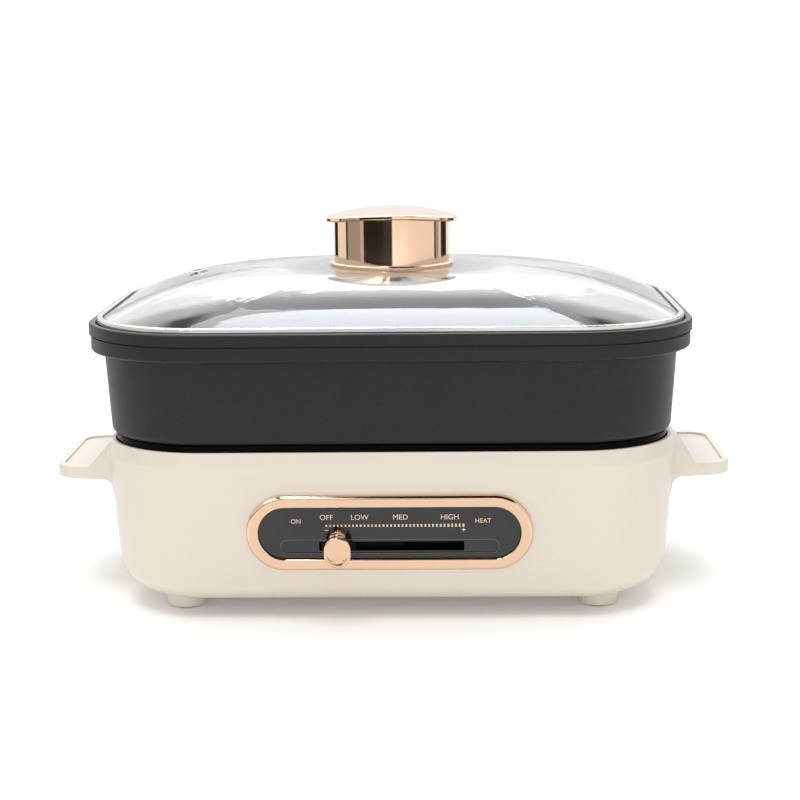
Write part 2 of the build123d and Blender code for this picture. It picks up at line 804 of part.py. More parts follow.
def panel_bezel():
    """Rose-gold frame of the control panel, with a skirt through the wall and four studs."""
    ring = stadium(bezel_length, bezel_height, 0, bezel_proud)
    ring = fillet(ring.edges().group_by(Axis.Z)[-1], bezel_outer_round)
    ring += panel_opening(-skirt_wall, -base_wall, 0)
    ring += [Pos(u, v, 0) * rod(stud_radius, -base_wall, 0) for u, v in stud_places]
    ring -= panel_opening(0, -base_wall - overrun, bezel_proud + overrun)
    inner_edge = ring.faces().sort_by(Axis.Z)[-1].inner_wires()[0].edges()
    ring = fillet(inner_edge, bezel_inner_round)
    pilot = rod(small_screw_radius + pilot_gap, -base_wall - overrun, frame_back + bezel_screw_length)
    return panel_plane * (ring - [Pos(u, v, 0) * pilot for u, v in stud_places])


def bezel_screws():
    """Screws from behind through the slide frame into the bezel's studs."""
    piece = Rot(2 * quarter_turn, 0, 0) * small_screw(bezel_screw_length - slide_gap)
    return group([panel_plane * Pos(u, v, frame_back) * piece for u, v in stud_places])


def slider_slot(low, high):
    """Cutter for the straight slot that the slider's tongue runs in."""
    half_height = tongue_height / 2 + slide_gap
    return bar(slot_place_u - slot_length / 2, slot_place_u + slot_length / 2,
               slot_place_v - half_height, slot_place_v + half_height, low, high)


def lens(gap, low, high):
    """Form of an indicator window, grown by a gap."""
    return plate(lens_length + 2 * gap, lens_height + 2 * gap, lens_corner_radius + gap, low, high)


def control_panel():
    """Glossy fascia with the slider's track and slot and two indicator windows."""
    fascia = panel_opening(panel_gap, fascia_back, fascia_front)
    fascia -= Pos(0, slot_place_v, 0) * stadium(track_length, track_height, fascia_front - track_depth,
                                                fascia_front + overrun)
    fascia -= slider_slot(fascia_back - overrun, fascia_front + overrun)
    windows = lens(lens_gap, fascia_back - overrun, fascia_front + overrun)
    return panel_plane * (fascia - [Pos(u, v, 0) * windows for u, v in lamp_places])


def lamp_lens(place):
    """One indicator window, flush with the fascia."""
    return panel_plane * Pos(*place, 0) * lens(0, fascia_back, fascia_front)


def indicator_lamps():
    """Two small lamps in the sockets behind the windows."""
    lamp = rod(lamp_radius, fascia_back - lamp_length, fascia_back)
    lamp = fillet(lamp.edges().group_by(Axis.Z)[-1], lamp_radius * head_round_share)
    return group([panel_plane * Pos(u, v, 0) * lamp for u, v in lamp_places])


def rail_high():
    """Upper edge of the rail under the carriage, up the wall."""
    return slot_place_v - carriage_drop - slide_gap


def retainer_places():
    """Places of the two screws that hold the retainer."""
    v = rail_high() - retainer_boss_radius
    return [(slot_place_u + side * retainer_screw_span / 2, v) for side in (-1, 1)]


def pillar_places():
    """Places of the two pillars that carry the thermostat."""
    return [(slot_place_u + side * pillar_span / 2, pinion_v) for side in (-1, 1)]


def slide_frame():
    """Moulded plate behind the wall: it backs the fascia and carries the rail, lamps and thermostat."""
    frame = stadium(frame_length, frame_height, frame_back, frame_front)
    frame += panel_opening(panel_gap, frame_front, fascia_back)
    frame += bar(slot_place_u - rail_length / 2, slot_place_u + rail_length / 2,
                 rail_high() - rail_width, rail_high(), rail_back, frame_back)
    frame += [Pos(u, v, 0) * rod(retainer_boss_radius, rail_back, frame_back) for u, v in retainer_places()]
    frame += [Pos(u, v, 0) * rod(pillar_radius, bracket_front, frame_back) for u, v in pillar_places()]
    bore = lamp_radius + hole_gap
    socket_low = fascia_back - lamp_length
    frame += [Pos(u, v, 0) * rod(bore + lamp_socket_wall, socket_low, frame_back) for u, v in lamp_places]
    frame -= [Pos(u, v, 0) * rod(bore, socket_low - overrun, fascia_back + overrun) for u, v in lamp_places]
    frame -= slider_slot(frame_back - overrun, fascia_back + overrun)
    hole = rod(small_screw_radius + hole_gap, frame_back - overrun, frame_front + overrun)
    frame -= [Pos(u, v, 0) * hole for u, v in stud_places]
    pilot = small_screw_radius + pilot_gap
    reach = rail_back + retainer_screw_length - retainer_thickness
    frame -= [Pos(u, v, 0) * rod(pilot, rail_back - overrun, reach) for u, v in retainer_places()]
    reach = bracket_front + bracket_screw_length - bracket_sheet
    frame -= [Pos(u, v, 0) * rod(pilot, bracket_front - overrun, reach) for u, v in pillar_places()]
    return panel_plane * frame


def carriage_retainer():
    """Strip that keeps the carriage against the slide frame."""
    low = rail_high() - 2 * retainer_boss_radius
    strip = bar(slot_place_u - rail_length / 2, slot_place_u + rail_length / 2, low,
                rail_high() + retainer_height, rail_back - retainer_thickness, rail_back)
    hole = rod(small_screw_radius + hole_gap, rail_back - retainer_thickness - overrun, rail_back + overrun)
    return panel_plane * (strip - [Pos(u, v, 0) * hole for u, v in retainer_places()])


def retainer_screws():
    """Screws that hold the retainer to the rail's bosses."""
    piece = Rot(2 * quarter_turn, 0, 0) * small_screw(retainer_screw_length - slide_gap)
    seat = rail_back - retainer_thickness
    return group([panel_plane * Pos(u, v, seat) * piece for u, v in retainer_places()])


def rack_teeth():
    """Straight-sided teeth along the carriage, set so that a gap faces the pinion at rest."""
    half = slider_travel / 2 + rack_margin
    first = math.ceil((slider_start_u - half - slot_place_u) / rack_pitch)
    last = math.floor((slider_start_u + half - slot_place_u) / rack_pitch)
    lean = math.tan(math.radians(pressure_angle))
    depth = gear_module * gear_dedendum_share
    half_tooth = (rack_pitch / 2 - gear_backlash) / 2
    root = half_tooth + depth * lean
    tip = half_tooth - gear_module * lean
    sides = Polyline((-root, -depth), (root, -depth), (tip, gear_module), (-tip, gear_module), close=True)
    tooth = extrude(make_face(sides), carriage_thickness)
    line = slot_place_v + rack_rise
    return [Pos(slot_place_u + (index + 1 / 2) * rack_pitch, line, carriage_back) * tooth
            for index in range(first, last)]


def slider_carriage():
    """Sliding bar with the rack on its upper edge and the tongue that passes through the slot."""
    half = slider_travel / 2 + rack_margin
    high = slot_place_v + rack_rise - gear_module * gear_dedendum_share
    body = bar(slider_start_u - half, slider_start_u + half, slot_place_v - carriage_drop, high,
               carriage_back, carriage_front)
    body += bar(slider_start_u - tongue_length / 2, slider_start_u + tongue_length / 2,
                slot_place_v - tongue_height / 2, slot_place_v + tongue_height / 2,
                carriage_front, fascia_front - track_depth - slide_gap)
    body += bar(slider_start_u - tongue_end_length / 2, slider_start_u + tongue_end_length / 2,
                slot_place_v - tongue_height / 2, slot_place_v + tongue_height / 2,
                carriage_front, fascia_front + thumb_standoff)
    body += rack_teeth()
    recess = carriage_back + small_head_height + slide_gap
    cut = rod(small_head_radius + hole_gap, carriage_back - overrun, recess)
    cut += rod(small_screw_radius + hole_gap, recess, bezel_proud + overrun)
    return panel_plane * (body - Pos(slider_start_u, slot_place_v, 0) * cut)


def slider_screw():
    """Screw from behind the carriage into the slider's knob."""
    seat = carriage_back + small_head_height + slide_gap
    piece = Rot(2 * quarter_turn, 0, 0) * small_screw(slider_screw_length)
    return panel_plane * Pos(slider_start_u, slot_place_v, seat) * piece


def slider_knob():
    """Upright oblong head with a raised rim and a sloped thumb rest, on a narrower neck."""
    low = fascia_front + thumb_standoff
    high = bezel_proud + thumb_reach
    head_low = high - thumb_head_depth
    head = extrude(SlotOverall(thumb_height, thumb_width, rotation=quarter_turn), thumb_head_depth)
    head = Pos(0, 0, head_low) * head
    head = fillet(head.edges().group_by(Axis.Z)[-1], thumb_edge_round)
    head = fillet(head.edges().group_by(Axis.Z)[0], thumb_back_round)
    inner = SlotOverall(thumb_height - 2 * thumb_rim, thumb_width - 2 * thumb_rim, rotation=quarter_turn)
    inside = Pos(0, 0, high - 2 * thumb_dish) * extrude(inner, 2 * thumb_dish + overrun)
    floor = bar(-thumb_width, thumb_width, -thumb_height, thumb_height, high - thumb_dish, high + overrun)
    slope = bar(-thumb_width, thumb_width, -2 * thumb_height, 0, 0, thumb_head_depth)
    slope = Pos(0, -thumb_height * thumb_crease_share, high - thumb_dish) * (Rot(thumb_slope, 0, 0) * slope)
    head -= inside & (floor + slope)
    neck = extrude(SlotOverall(neck_height, neck_width, rotation=quarter_turn), head_low - low)
    body = head + Pos(0, neck_rise, low) * neck
    reach = carriage_back + small_head_height + 2 * slide_gap + slider_screw_length
    body -= rod(small_screw_radius + pilot_gap, low - overrun, reach)
    return panel_plane * Pos(slider_start_u, slot_place_v, 0) * body


def gear_outline():
    """Points round the pinion: each flank is an involute, worked out at a few radii."""
    pressure = math.radians(pressure_angle)
    base_radius = pitch_radius * math.cos(pressure)
    tip_radius = pitch_radius + gear_module
    root_radius = pitch_radius - gear_module * gear_dedendum_share
    half_angle = (rack_pitch / 2 - gear_backlash) / (2 * pitch_radius)
    flank = [(root_radius, half_angle + math.tan(pressure) - pressure)]
    for step in range(flank_points):
        radius = base_radius + (tip_radius - base_radius) * step / (flank_points - 1)
        roll = math.acos(base_radius / radius)
        flank.append((radius, half_angle + math.tan(pressure) - pressure - math.tan(roll) + roll))
    points = []
    for index in range(gear_teeth):
        middle = 2 * math.pi * index / gear_teeth - math.pi / 2
        sides = [(radius, middle - angle) for radius, angle in flank]
        sides += [(radius, middle + angle) for radius, angle in reversed(flank)]
        points += [(radius * math.cos(angle), radius * math.sin(angle)) for radius, angle in sides]
    return points


def drive_pinion():
    """Toothed wheel on the thermostat's spindle, turned by the rack."""
    wheel = extrude(make_face(Polyline(*gear_outline(), close=True)), carriage_thickness)
    wheel -= rod(spindle_radius + pilot_gap, -overrun, carriage_thickness + overrun)
    return panel_plane * Pos(slot_place_u, pinion_v, carriage_back) * wheel


def thermostat_spindle():
    """Shaft from inside the thermostat to the front of the pinion."""
    low = bracket_back - thermostat_depth / 2
    return panel_plane * Pos(slot_place_u, pinion_v, 0) * rod(spindle_radius, low, carriage_front)


def thermostat_body():
    """Round thermostat with a threaded neck for its nut and a bore for the spindle."""
    can = rod(thermostat_radius, can_back, bracket_back)
    can = fillet(can.edges().group_by(Axis.Z)[0], thermostat_edge_radius)
    can += rod(spindle_radius + bush_wall, bracket_back, nut_front)
    bore_low = bracket_back - thermostat_depth / 2 - slide_gap
    can -= rod(spindle_radius + running_gap, bore_low, nut_front + overrun)
    return panel_plane * Pos(slot_place_u, pinion_v, 0) * can


def tab_places():
    """Places of the two blade terminals along the panel."""
    return [slot_place_u + side * tab_span / 2 for side in (-1, 1)]


def thermostat_tabs():
    """Two blade terminals on the back of the thermostat."""
    half_width = tab_width / 2
    half_thickness = tab_thickness / 2
    blade = bar(-half_width, half_width, -half_thickness, half_thickness, can_back - tab_length, can_back)
    return group([panel_plane * Pos(u, pinion_v, 0) * blade for u in tab_places()])


def thermostat_bracket():
    """Sheet bracket on the pillars, holding the thermostat."""
    sheet = plate(bracket_length, bracket_height, pillar_radius, bracket_back, bracket_front)
    low = bracket_back - overrun
    sheet -= rod(spindle_radius + bush_wall + hole_gap, low, bracket_front + overrun)
    hole = rod(small_screw_radius + hole_gap, low, bracket_front + overrun)
    sheet -= [Pos(side * pillar_span / 2, 0, 0) * hole for side in (-1, 1)]
    return panel_plane * Pos(slot_place_u, pinion_v, 0) * sheet


def thermostat_nut():
    """Six-sided nut on the thermostat's neck."""
    nut = Pos(0, 0, bracket_front) * extrude(RegularPolygon(nut_radius, nut_sides), nut_height)
    nut -= rod(spindle_radius + bush_wall + pilot_gap, bracket_front - overrun, nut_front + overrun)
    return panel_plane * Pos(slot_place_u, pinion_v, 0) * nut


def bracket_screws():
    """Screws that hold the bracket to its pillars."""
    piece = Rot(2 * quarter_turn, 0, 0) * small_screw(bracket_screw_length - slide_gap)
    return group([panel_plane * Pos(u, v, bracket_back) * piece for u, v in pillar_places()])


def pin_places():
    """Places of the two power pins and the earth pin in the inlet."""
    return [(-pin_span / 2, pin_rise), (pin_span / 2, pin_rise), (0, -pin_rise)]


def inlet_pin(gap, low, high):
    """Form of one inlet pin, grown by a gap."""
    half_width = pin_width / 2 + gap
    half_height = pin_height / 2 + gap
    return bar(-half_width, half_width, -half_height, half_height, low, high)


def power_inlet():
    """Moulded socket in the back wall for a cord's connector."""
    mouth_low = inlet_flange_thickness - inlet_mouth_depth
    body = plate(inlet_flange_length, inlet_flange_height, inlet_flange_radius, 0, inlet_flange_thickness)
    body += plate(inlet_barrel_length, inlet_barrel_height, inlet_mouth_radius, -inlet_barrel_depth, 0)
    body -= plate(inlet_mouth_length, inlet_mouth_height, inlet_mouth_radius, mouth_low,
                  inlet_flange_thickness + overrun)
    slot = inlet_pin(pilot_gap, -inlet_barrel_depth - overrun, mouth_low + overrun)
    body -= [Pos(u, v, 0) * slot for u, v in pin_places()]
    hole = rod(small_screw_radius + hole_gap, -overrun, inlet_flange_thickness + overrun)
    return inlet_plane * (body - [Pos(side * inlet_screw_span / 2, 0, 0) * hole for side in (-1, 1)])


def inlet_pins():
    """Three flat pins through the back of the inlet."""
    tip = inlet_flange_thickness - inlet_mouth_depth + pin_length
    pin = inlet_pin(0, -inlet_barrel_depth - pin_tail, tip)
    return group([inlet_plane * Pos(u, v, 0) * pin for u, v in pin_places()])


def inlet_screws():
    """Screws that hold the inlet to the wall."""
    piece = small_screw(inlet_screw_length - slide_gap)
    places = [Pos(side * inlet_screw_span / 2, 0, inlet_flange_thickness) for side in (-1, 1)]
    return group([inlet_plane * place * piece for place in places])


def thermal_fuse():
    """Safety cut-out held flat under the well."""
    case = stadium(fuse_length, fuse_width, well_low - fuse_height, well_low)
    return Pos(fuse_place_x, fuse_place_y, 0) * case


def lead(start, shares, offsets, end):
    """Insulated wire between two ends, its straight runs joined by arcs as large as the runs allow."""
    first, last = Vector(start), Vector(end)
    between = [first + (last - first) * share + Vector(offset) for share, offset in zip(shares, offsets)]
    points = [first, *between, last]
    runs = [after - before for before, after in zip(points, points[1:])]
    radii = []
    for before, after in zip(runs, runs[1:]):
        turn = math.radians(before.get_angle(after))
        radii.append(bend_share * min(before.length, after.length) / math.tan(turn / 2))
    path = FilletPolyline(*points, radius=radii)
    wire = sweep(Plane(origin=points[0], z_dir=runs[0]) * Circle(lead_radius), path)
    print("lead", round(path.length, 1), "mm, tightest bend", round(min(radii), 1), "mm")
    return wire


def inner_leads():
    """Four wires that join the inlet, the thermostat, the heater and the fuse."""
    sides = (-1, 1)
    pin_back = -inlet_barrel_depth - pin_tail - lead_gap
    pins = [inlet_plane.from_local_coords((side * pin_span / 2, pin_rise, pin_back)) for side in sides]
    tab_back = can_back - tab_length - lead_gap
    tabs = [panel_plane.from_local_coords((u, pinion_v, tab_back)) for u in tab_places()]
    heater_z = well_low - element_tail - lead_gap
    heater = [(side * element_end_x, element_back_y, heater_z) for side in sides]
    fuse_z = well_low - fuse_height / 2
    fuse = [(fuse_place_x + side * (fuse_length / 2 + lead_gap), fuse_place_y, fuse_z) for side in sides]
    return {
        "inlet_lead": lead(pins[0], inlet_lead_shares, inlet_lead_offsets, tabs[1]),
        "heater_lead": lead(tabs[0], heater_lead_shares, heater_lead_offsets, heater[0]),
        "fuse_lead": lead(heater[1], fuse_lead_shares, fuse_lead_offsets, fuse[0]),
        "return_lead": lead(fuse[1], return_lead_shares, return_lead_offsets, pins[1]),
    }


def pan():
    """Deep cast pan with a two-step rim and a ledge for the lid."""
    wall = leaning_prism(pan_growth(lip_low), lip_low, pan_low, pan_draft)
    wall = fillet(wall.edges().group_by(Axis.Z)[0], pan_bottom_radius)
    band = slab(band_growth, band_low, band_top)
    wall += fillet(band.edges().group_by(Axis.Z)[0], band_edge_radius)
    wall += slab(band_growth - groove_depth, band_top, lip_low)
    lip = slab(lip_growth, lip_low, pan_top)
    wall += fillet(lip.edges().group_by(Axis.Z)[-1], lip_edge_radius)
    hollow = leaning_prism(pan_growth(ledge_z) - pan_wall, ledge_z, pan_low + pan_floor, pan_draft)
    wall -= fillet(hollow.edges().group_by(Axis.Z)[0], pan_inner_radius)
    wall -= slab(lip_growth - lip_wall, ledge_z, pan_top + overrun)
    rim = wall.faces().sort_by(Axis.Z)[-1].inner_wires()[0].edges()
    return fillet(rim, lip_edge_radius)


def dome(brim, drop):
    """Domed solid below the glass: drawn in at its edge by a brim and lowered by a drop."""
    growth = dome_growth - brim
    edge = (base_length + 2 * growth, base_depth + 2 * growth, base_corner_radius + growth)
    seat = (seat_length, seat_depth, seat_corner_radius)
    sections = []
    for step in range(dome_steps + 1):
        inset = step / dome_steps
        sizes = [start + (end - start) * inset for start, end in zip(edge, seat)]
        height = glass_edge_z - drop + dome_rise * (1 - (1 - inset) ** dome_power)
        sections.append(Pos(0, 0, height) * RectangleRounded(*sizes))
    return loft(sections)


def vent_plane():
    """Plane on the glass at the steam vent, its normal out of the dome."""
    upright = Axis((vent_place_x, vent_place_y, 0), (0, 0, 1))
    hits = [hit for face in dome(0, 0).faces() for hit in face.find_intersection_points(upright)]
    point, normal = max(hits, key=lambda hit: hit[0].Z)
    if normal.Z < 0:
        normal = -normal
    return Plane(origin=point, z_dir=normal)


def lid_glass(vent):
    """Domed glass with a flat brim, holes for the knob's screw and pin, and the vent hole."""
    glass = dome(0, 0) + slab(glass_growth, glass_edge_z - glass_thickness, glass_edge_z)
    glass -= dome(glass_brim, glass_thickness)
    low = seat_z - 2 * glass_thickness
    glass -= rod(lid_screw_radius + hole_gap, low, seat_z + overrun)
    glass -= Pos(peg_place_x, 0, 0) * rod(peg_radius + hole_gap, low, seat_z + overrun)
    bore = eyelet_bore_radius + eyelet_wall + hole_gap
    return glass - vent * rod(bore, -2 * glass_thickness, overrun)


def lid_hoop():
    """Folded steel hoop round the edge of the glass."""
    top = ledge_z + hoop_height
    hoop = slab(lid_growth, ledge_z, top)
    hoop = fillet(hoop.edges().group_by(Axis.Z)[-1], hoop_edge_radius)
    hoop -= slab(lid_growth - hoop_sheet, ledge_z + hoop_sheet, top - hoop_sheet)
    hoop -= slab(lid_growth - hoop_top_lip, ledge_z + hoop_sheet, top + overrun)
    return hoop - slab(lid_growth - hoop_bottom_lip, ledge_z - overrun, top)


def lid_gasket():
    """Soft ring between the hoop's lower lip and the glass."""
    low = ledge_z + hoop_sheet
    high = glass_edge_z - glass_thickness
    return slab(glass_growth, low, high) - slab(lid_growth - hoop_bottom_lip, low - overrun, high + overrun)


def vent_eyelet(vent):
    """Metal eyelet in the vent hole, with a lip on both sides of the glass."""
    neck = eyelet_bore_radius + eyelet_wall
    lip = eyelet_bore_radius + eyelet_lip
    low = -glass_thickness - eyelet_gap
    eyelet = rod(neck, low - eyelet_lip_height, eyelet_gap + eyelet_lip_height)
    eyelet += fillet(rod(lip, eyelet_gap, eyelet_gap + eyelet_lip_height).edges().group_by(Axis.Z)[-1],
                     eyelet_lip_height * head_round_share)
    eyelet += rod(neck + eyelet_wall, low - eyelet_lip_height - eyelet_gap, low - eyelet_gap)
    return vent * (eyelet - rod(eyelet_bore_radius, low - glass_thickness, glass_thickness))


def arch(radius):
    """Long round bar along Y whose crown is at the top of the knob's body when its radius is the cap's."""
    length = 4 * (knob_radius + cap_overhang)
    return Pos(0, 0, knob_top - cap_arch_radius) * (Rot(quarter_turn, 0, 0) * Cylinder(radius, length))


def knob_body():
    """Hollow drum of the lid knob, with a lip at its foot and a boss for the screw."""
    drum = rod(knob_radius, seat_z, knob_top) & arch(cap_arch_radius)
    lip = rod(knob_radius + knob_lip_out, seat_z, seat_z + knob_lip_height)
    drum += fillet(lip.edges().group_by(Axis.Z)[-1], knob_lip_round)
    drum -= rod(knob_radius - knob_wall, seat_z + knob_floor, knob_top + overrun)
    drum += rod(knob_boss_radius, seat_z, seat_z + knob_boss_height)
    drum -= rod(lid_screw_radius + pilot_gap, seat_z - overrun, seat_z + knob_boss_height + overrun)
    peg_hole = rod(peg_radius + pilot_gap, seat_z - overrun, seat_z + peg_depth + overrun)
    return drum - Pos(peg_place_x, 0, 0) * peg_hole


def knob_cap():
    """Arched cap that overhangs the drum, with a ring that plugs into it."""
    radius = knob_radius + cap_overhang
    cap = rod(radius, seat_z, knob_top + cap_thickness + overrun)
    cap = (cap & arch(cap_arch_radius + cap_thickness)) - arch(cap_arch_radius)
    cap = fillet(cap.edges().filter_by(lambda edge: edge.length > radius), cap_edge_radius)
    plug = knob_radius - knob_wall - seat_gap
    sag = cap_arch_radius - math.sqrt(cap_arch_radius ** 2 - plug ** 2)
    low = knob_top - sag - cap_spigot_depth
    spigot = rod(plug, low, knob_top) - rod(plug - cap_spigot_wall, low - overrun, knob_top + overrun)
    return cap + (spigot & arch(cap_arch_radius))


def knob_washer():
    """Soft washer under the glass."""
    high = seat_z - glass_thickness
    return tube(washer_radius, lid_screw_radius + hole_gap, high - washer_thickness, high)


def knob_screw():
    """Screw from under the glass up into the knob's boss."""
    piece = screw(lid_screw_radius, lid_screw_length, lid_screw_head_radius, lid_screw_head_height)
    return Pos(0, 0, seat_z - glass_thickness - washer_thickness) * (Rot(2 * quarter_turn, 0, 0) * piece)


def locating_pin():
    """Pin beside the screw that stops the knob from turning."""
    low = seat_z - glass_thickness
    pin = rod(peg_head_radius, low - peg_head_height, low)
    pin = fillet(pin.edges().group_by(Axis.Z)[0], peg_head_height * head_round_share)
    return Pos(peg_place_x, 0, 0) * (pin + rod(peg_radius, low, seat_z + peg_depth))


def all_pieces():
    """Every node by name."""
    form = base_form()
    right_handle = handle(form)
    vent = vent_plane()
    pieces = {
        "base_shell": base_shell(), "right_handle": right_handle,
        "left_handle": mirror(right_handle, about=Plane.YZ), "handle_screws": handle_screws(),
        "bottom_cover": bottom_cover(), "cover_screws": cover_screws(),
        "foot_screws": foot_screws(), "foot_pads": foot_pads(),
        "support_ring": support_ring(), "heater_well": heater_well(), "deck_screws": deck_screws(),
        "heating_element": heating_element(), "element_clips": element_clips(),
        "element_bushes": element_bushes(), "sensor_sleeve": sensor_sleeve(), "sensor_cap": sensor_cap(),
        "sensor_clip": sensor_clip(), "sensor_spring": sensor_spring(),
        "panel_bezel": panel_bezel(), "bezel_screws": bezel_screws(), "control_panel": control_panel(),
        "on_lamp_lens": lamp_lens(lamp_places[0]), "heat_lamp_lens": lamp_lens(lamp_places[1]),
        "indicator_lamps": indicator_lamps(), "slide_frame": slide_frame(),
        "carriage_retainer": carriage_retainer(), "retainer_screws": retainer_screws(),
        "slider_carriage": slider_carriage(), "slider_screw": slider_screw(), "slider_knob": slider_knob(),
        "drive_pinion": drive_pinion(), "thermostat_spindle": thermostat_spindle(),
        "thermostat_body": thermostat_body(), "thermostat_tabs": thermostat_tabs(),
        "thermostat_bracket": thermostat_bracket(), "thermostat_nut": thermostat_nut(),
        "bracket_screws": bracket_screws(), "power_inlet": power_inlet(), "inlet_pins": inlet_pins(),
        "inlet_screws": inlet_screws(), "thermal_fuse": thermal_fuse(),
        "pan": pan(), "lid_glass": lid_glass(vent), "lid_hoop": lid_hoop(), "lid_gasket": lid_gasket(),
        "vent_eyelet": vent_eyelet(vent), "knob_body": knob_body(), "knob_cap": knob_cap(),
        "knob_washer": knob_washer(), "knob_screw": knob_screw(), "locating_pin": locating_pin(),
    }
    pieces.update(inner_leads())
    for place_x, place_y in foot_places:
        name = ("front" if place_y < 0 else "back") + ("_left" if place_x < 0 else "_right") + "_foot"
        pieces[name] = Pos(place_x, place_y, 0) * foot()
    return pieces


os.makedirs("parts", exist_ok=True)
for node, piece in all_pieces().items():
    export_step(piece, "parts/" + node + ".step")
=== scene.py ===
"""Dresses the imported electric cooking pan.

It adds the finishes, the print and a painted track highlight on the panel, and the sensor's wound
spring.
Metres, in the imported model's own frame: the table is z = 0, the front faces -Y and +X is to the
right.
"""

import logging
import math
from collections.abc import Callable
from dataclasses import dataclass
from enum import Enum

import bpy
from mathutils import Matrix, Vector

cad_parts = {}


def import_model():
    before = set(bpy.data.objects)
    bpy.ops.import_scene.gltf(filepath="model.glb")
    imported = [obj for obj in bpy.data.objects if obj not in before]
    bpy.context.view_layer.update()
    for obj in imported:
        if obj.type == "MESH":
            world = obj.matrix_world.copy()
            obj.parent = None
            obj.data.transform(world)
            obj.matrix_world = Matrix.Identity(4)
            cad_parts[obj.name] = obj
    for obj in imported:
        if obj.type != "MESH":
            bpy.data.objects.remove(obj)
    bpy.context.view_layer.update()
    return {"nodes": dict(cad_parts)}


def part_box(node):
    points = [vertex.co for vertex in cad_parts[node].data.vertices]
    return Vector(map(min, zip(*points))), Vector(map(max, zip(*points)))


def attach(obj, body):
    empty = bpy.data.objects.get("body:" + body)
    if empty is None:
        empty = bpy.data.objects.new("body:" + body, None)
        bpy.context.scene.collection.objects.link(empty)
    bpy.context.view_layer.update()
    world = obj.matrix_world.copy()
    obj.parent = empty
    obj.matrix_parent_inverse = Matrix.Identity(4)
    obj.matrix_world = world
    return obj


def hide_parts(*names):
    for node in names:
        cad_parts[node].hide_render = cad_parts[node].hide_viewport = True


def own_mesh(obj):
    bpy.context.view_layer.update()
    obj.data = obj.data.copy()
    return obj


LOG = logging.getLogger("cooking_pan")
IMAGE_SIDE = 800
SENSOR_WIDTH = 36.0
SMOOTH_ANGLE = math.radians(40.0)
Colour = tuple[float, float, float]
Triple = tuple[float, float, float]
Pair = tuple[float, float]
WHITE: Colour = (1.0, 1.0, 1.0)


class Signal:
    """One output of a shader node; arithmetic on it adds Math nodes."""

    def __init__(self, graph: "Graph", socket: bpy.types.NodeSocket) -> None:
        """Wraps a socket.

        Args:
            graph: The tree that the socket is in.
            socket: The output to wrap.
        """
        self.graph = graph
        self.socket = socket

    def __add__(self, other: "Signal | float") -> "Signal":
        """Sum of two values."""
        return self.graph.maths("ADD", self, other)

    def __radd__(self, other: float) -> "Signal":
        """Sum with a number on the left."""
        return self.graph.maths("ADD", other, self)

    def __sub__(self, other: "Signal | float") -> "Signal":
        """Difference of two values."""
        return self.graph.maths("SUBTRACT", self, other)

    def __rsub__(self, other: float) -> "Signal":
        """A number less this value."""
        return self.graph.maths("SUBTRACT", other, self)

    def __mul__(self, other: "Signal | float") -> "Signal":
        """Product of two values."""
        return self.graph.maths("MULTIPLY", self, other)

    def __rmul__(self, other: float) -> "Signal":
        """Product with a number on the left."""
        return self.graph.maths("MULTIPLY", other, self)

    def __truediv__(self, other: "Signal | float") -> "Signal":
        """Quotient of two values."""
        return self.graph.maths("DIVIDE", self, other)

    def __pow__(self, other: "Signal | float") -> "Signal":
        """This value raised to a power."""
        return self.graph.maths("POWER", self, other)

    def __abs__(self) -> "Signal":
        """This value without its sign."""
        return self.graph.maths("ABSOLUTE", self, 0.0)

    def at_most(self, other: "Signal | float") -> "Signal":
        """The smaller of two values."""
        return self.graph.maths("MINIMUM", self, other)

    def at_least(self, other: "Signal | float") -> "Signal":
        """The larger of two values."""
        return self.graph.maths("MAXIMUM", self, other)

    def ramp(self, start: float, end: float) -> "Signal":
        """Rises evenly from nought to one between two values.

        Args:
            start: Where the rise starts.
            end: Where it ends.

        Returns:
            The rise.
        """
        return ((self - start) / (end - start)).at_least(0.0).at_most(1.0)

    def above(self, other: "Signal | float") -> "Signal":
        """One where this value is the larger, and nought elsewhere."""
        return self.graph.maths("GREATER_THAN", self, other)


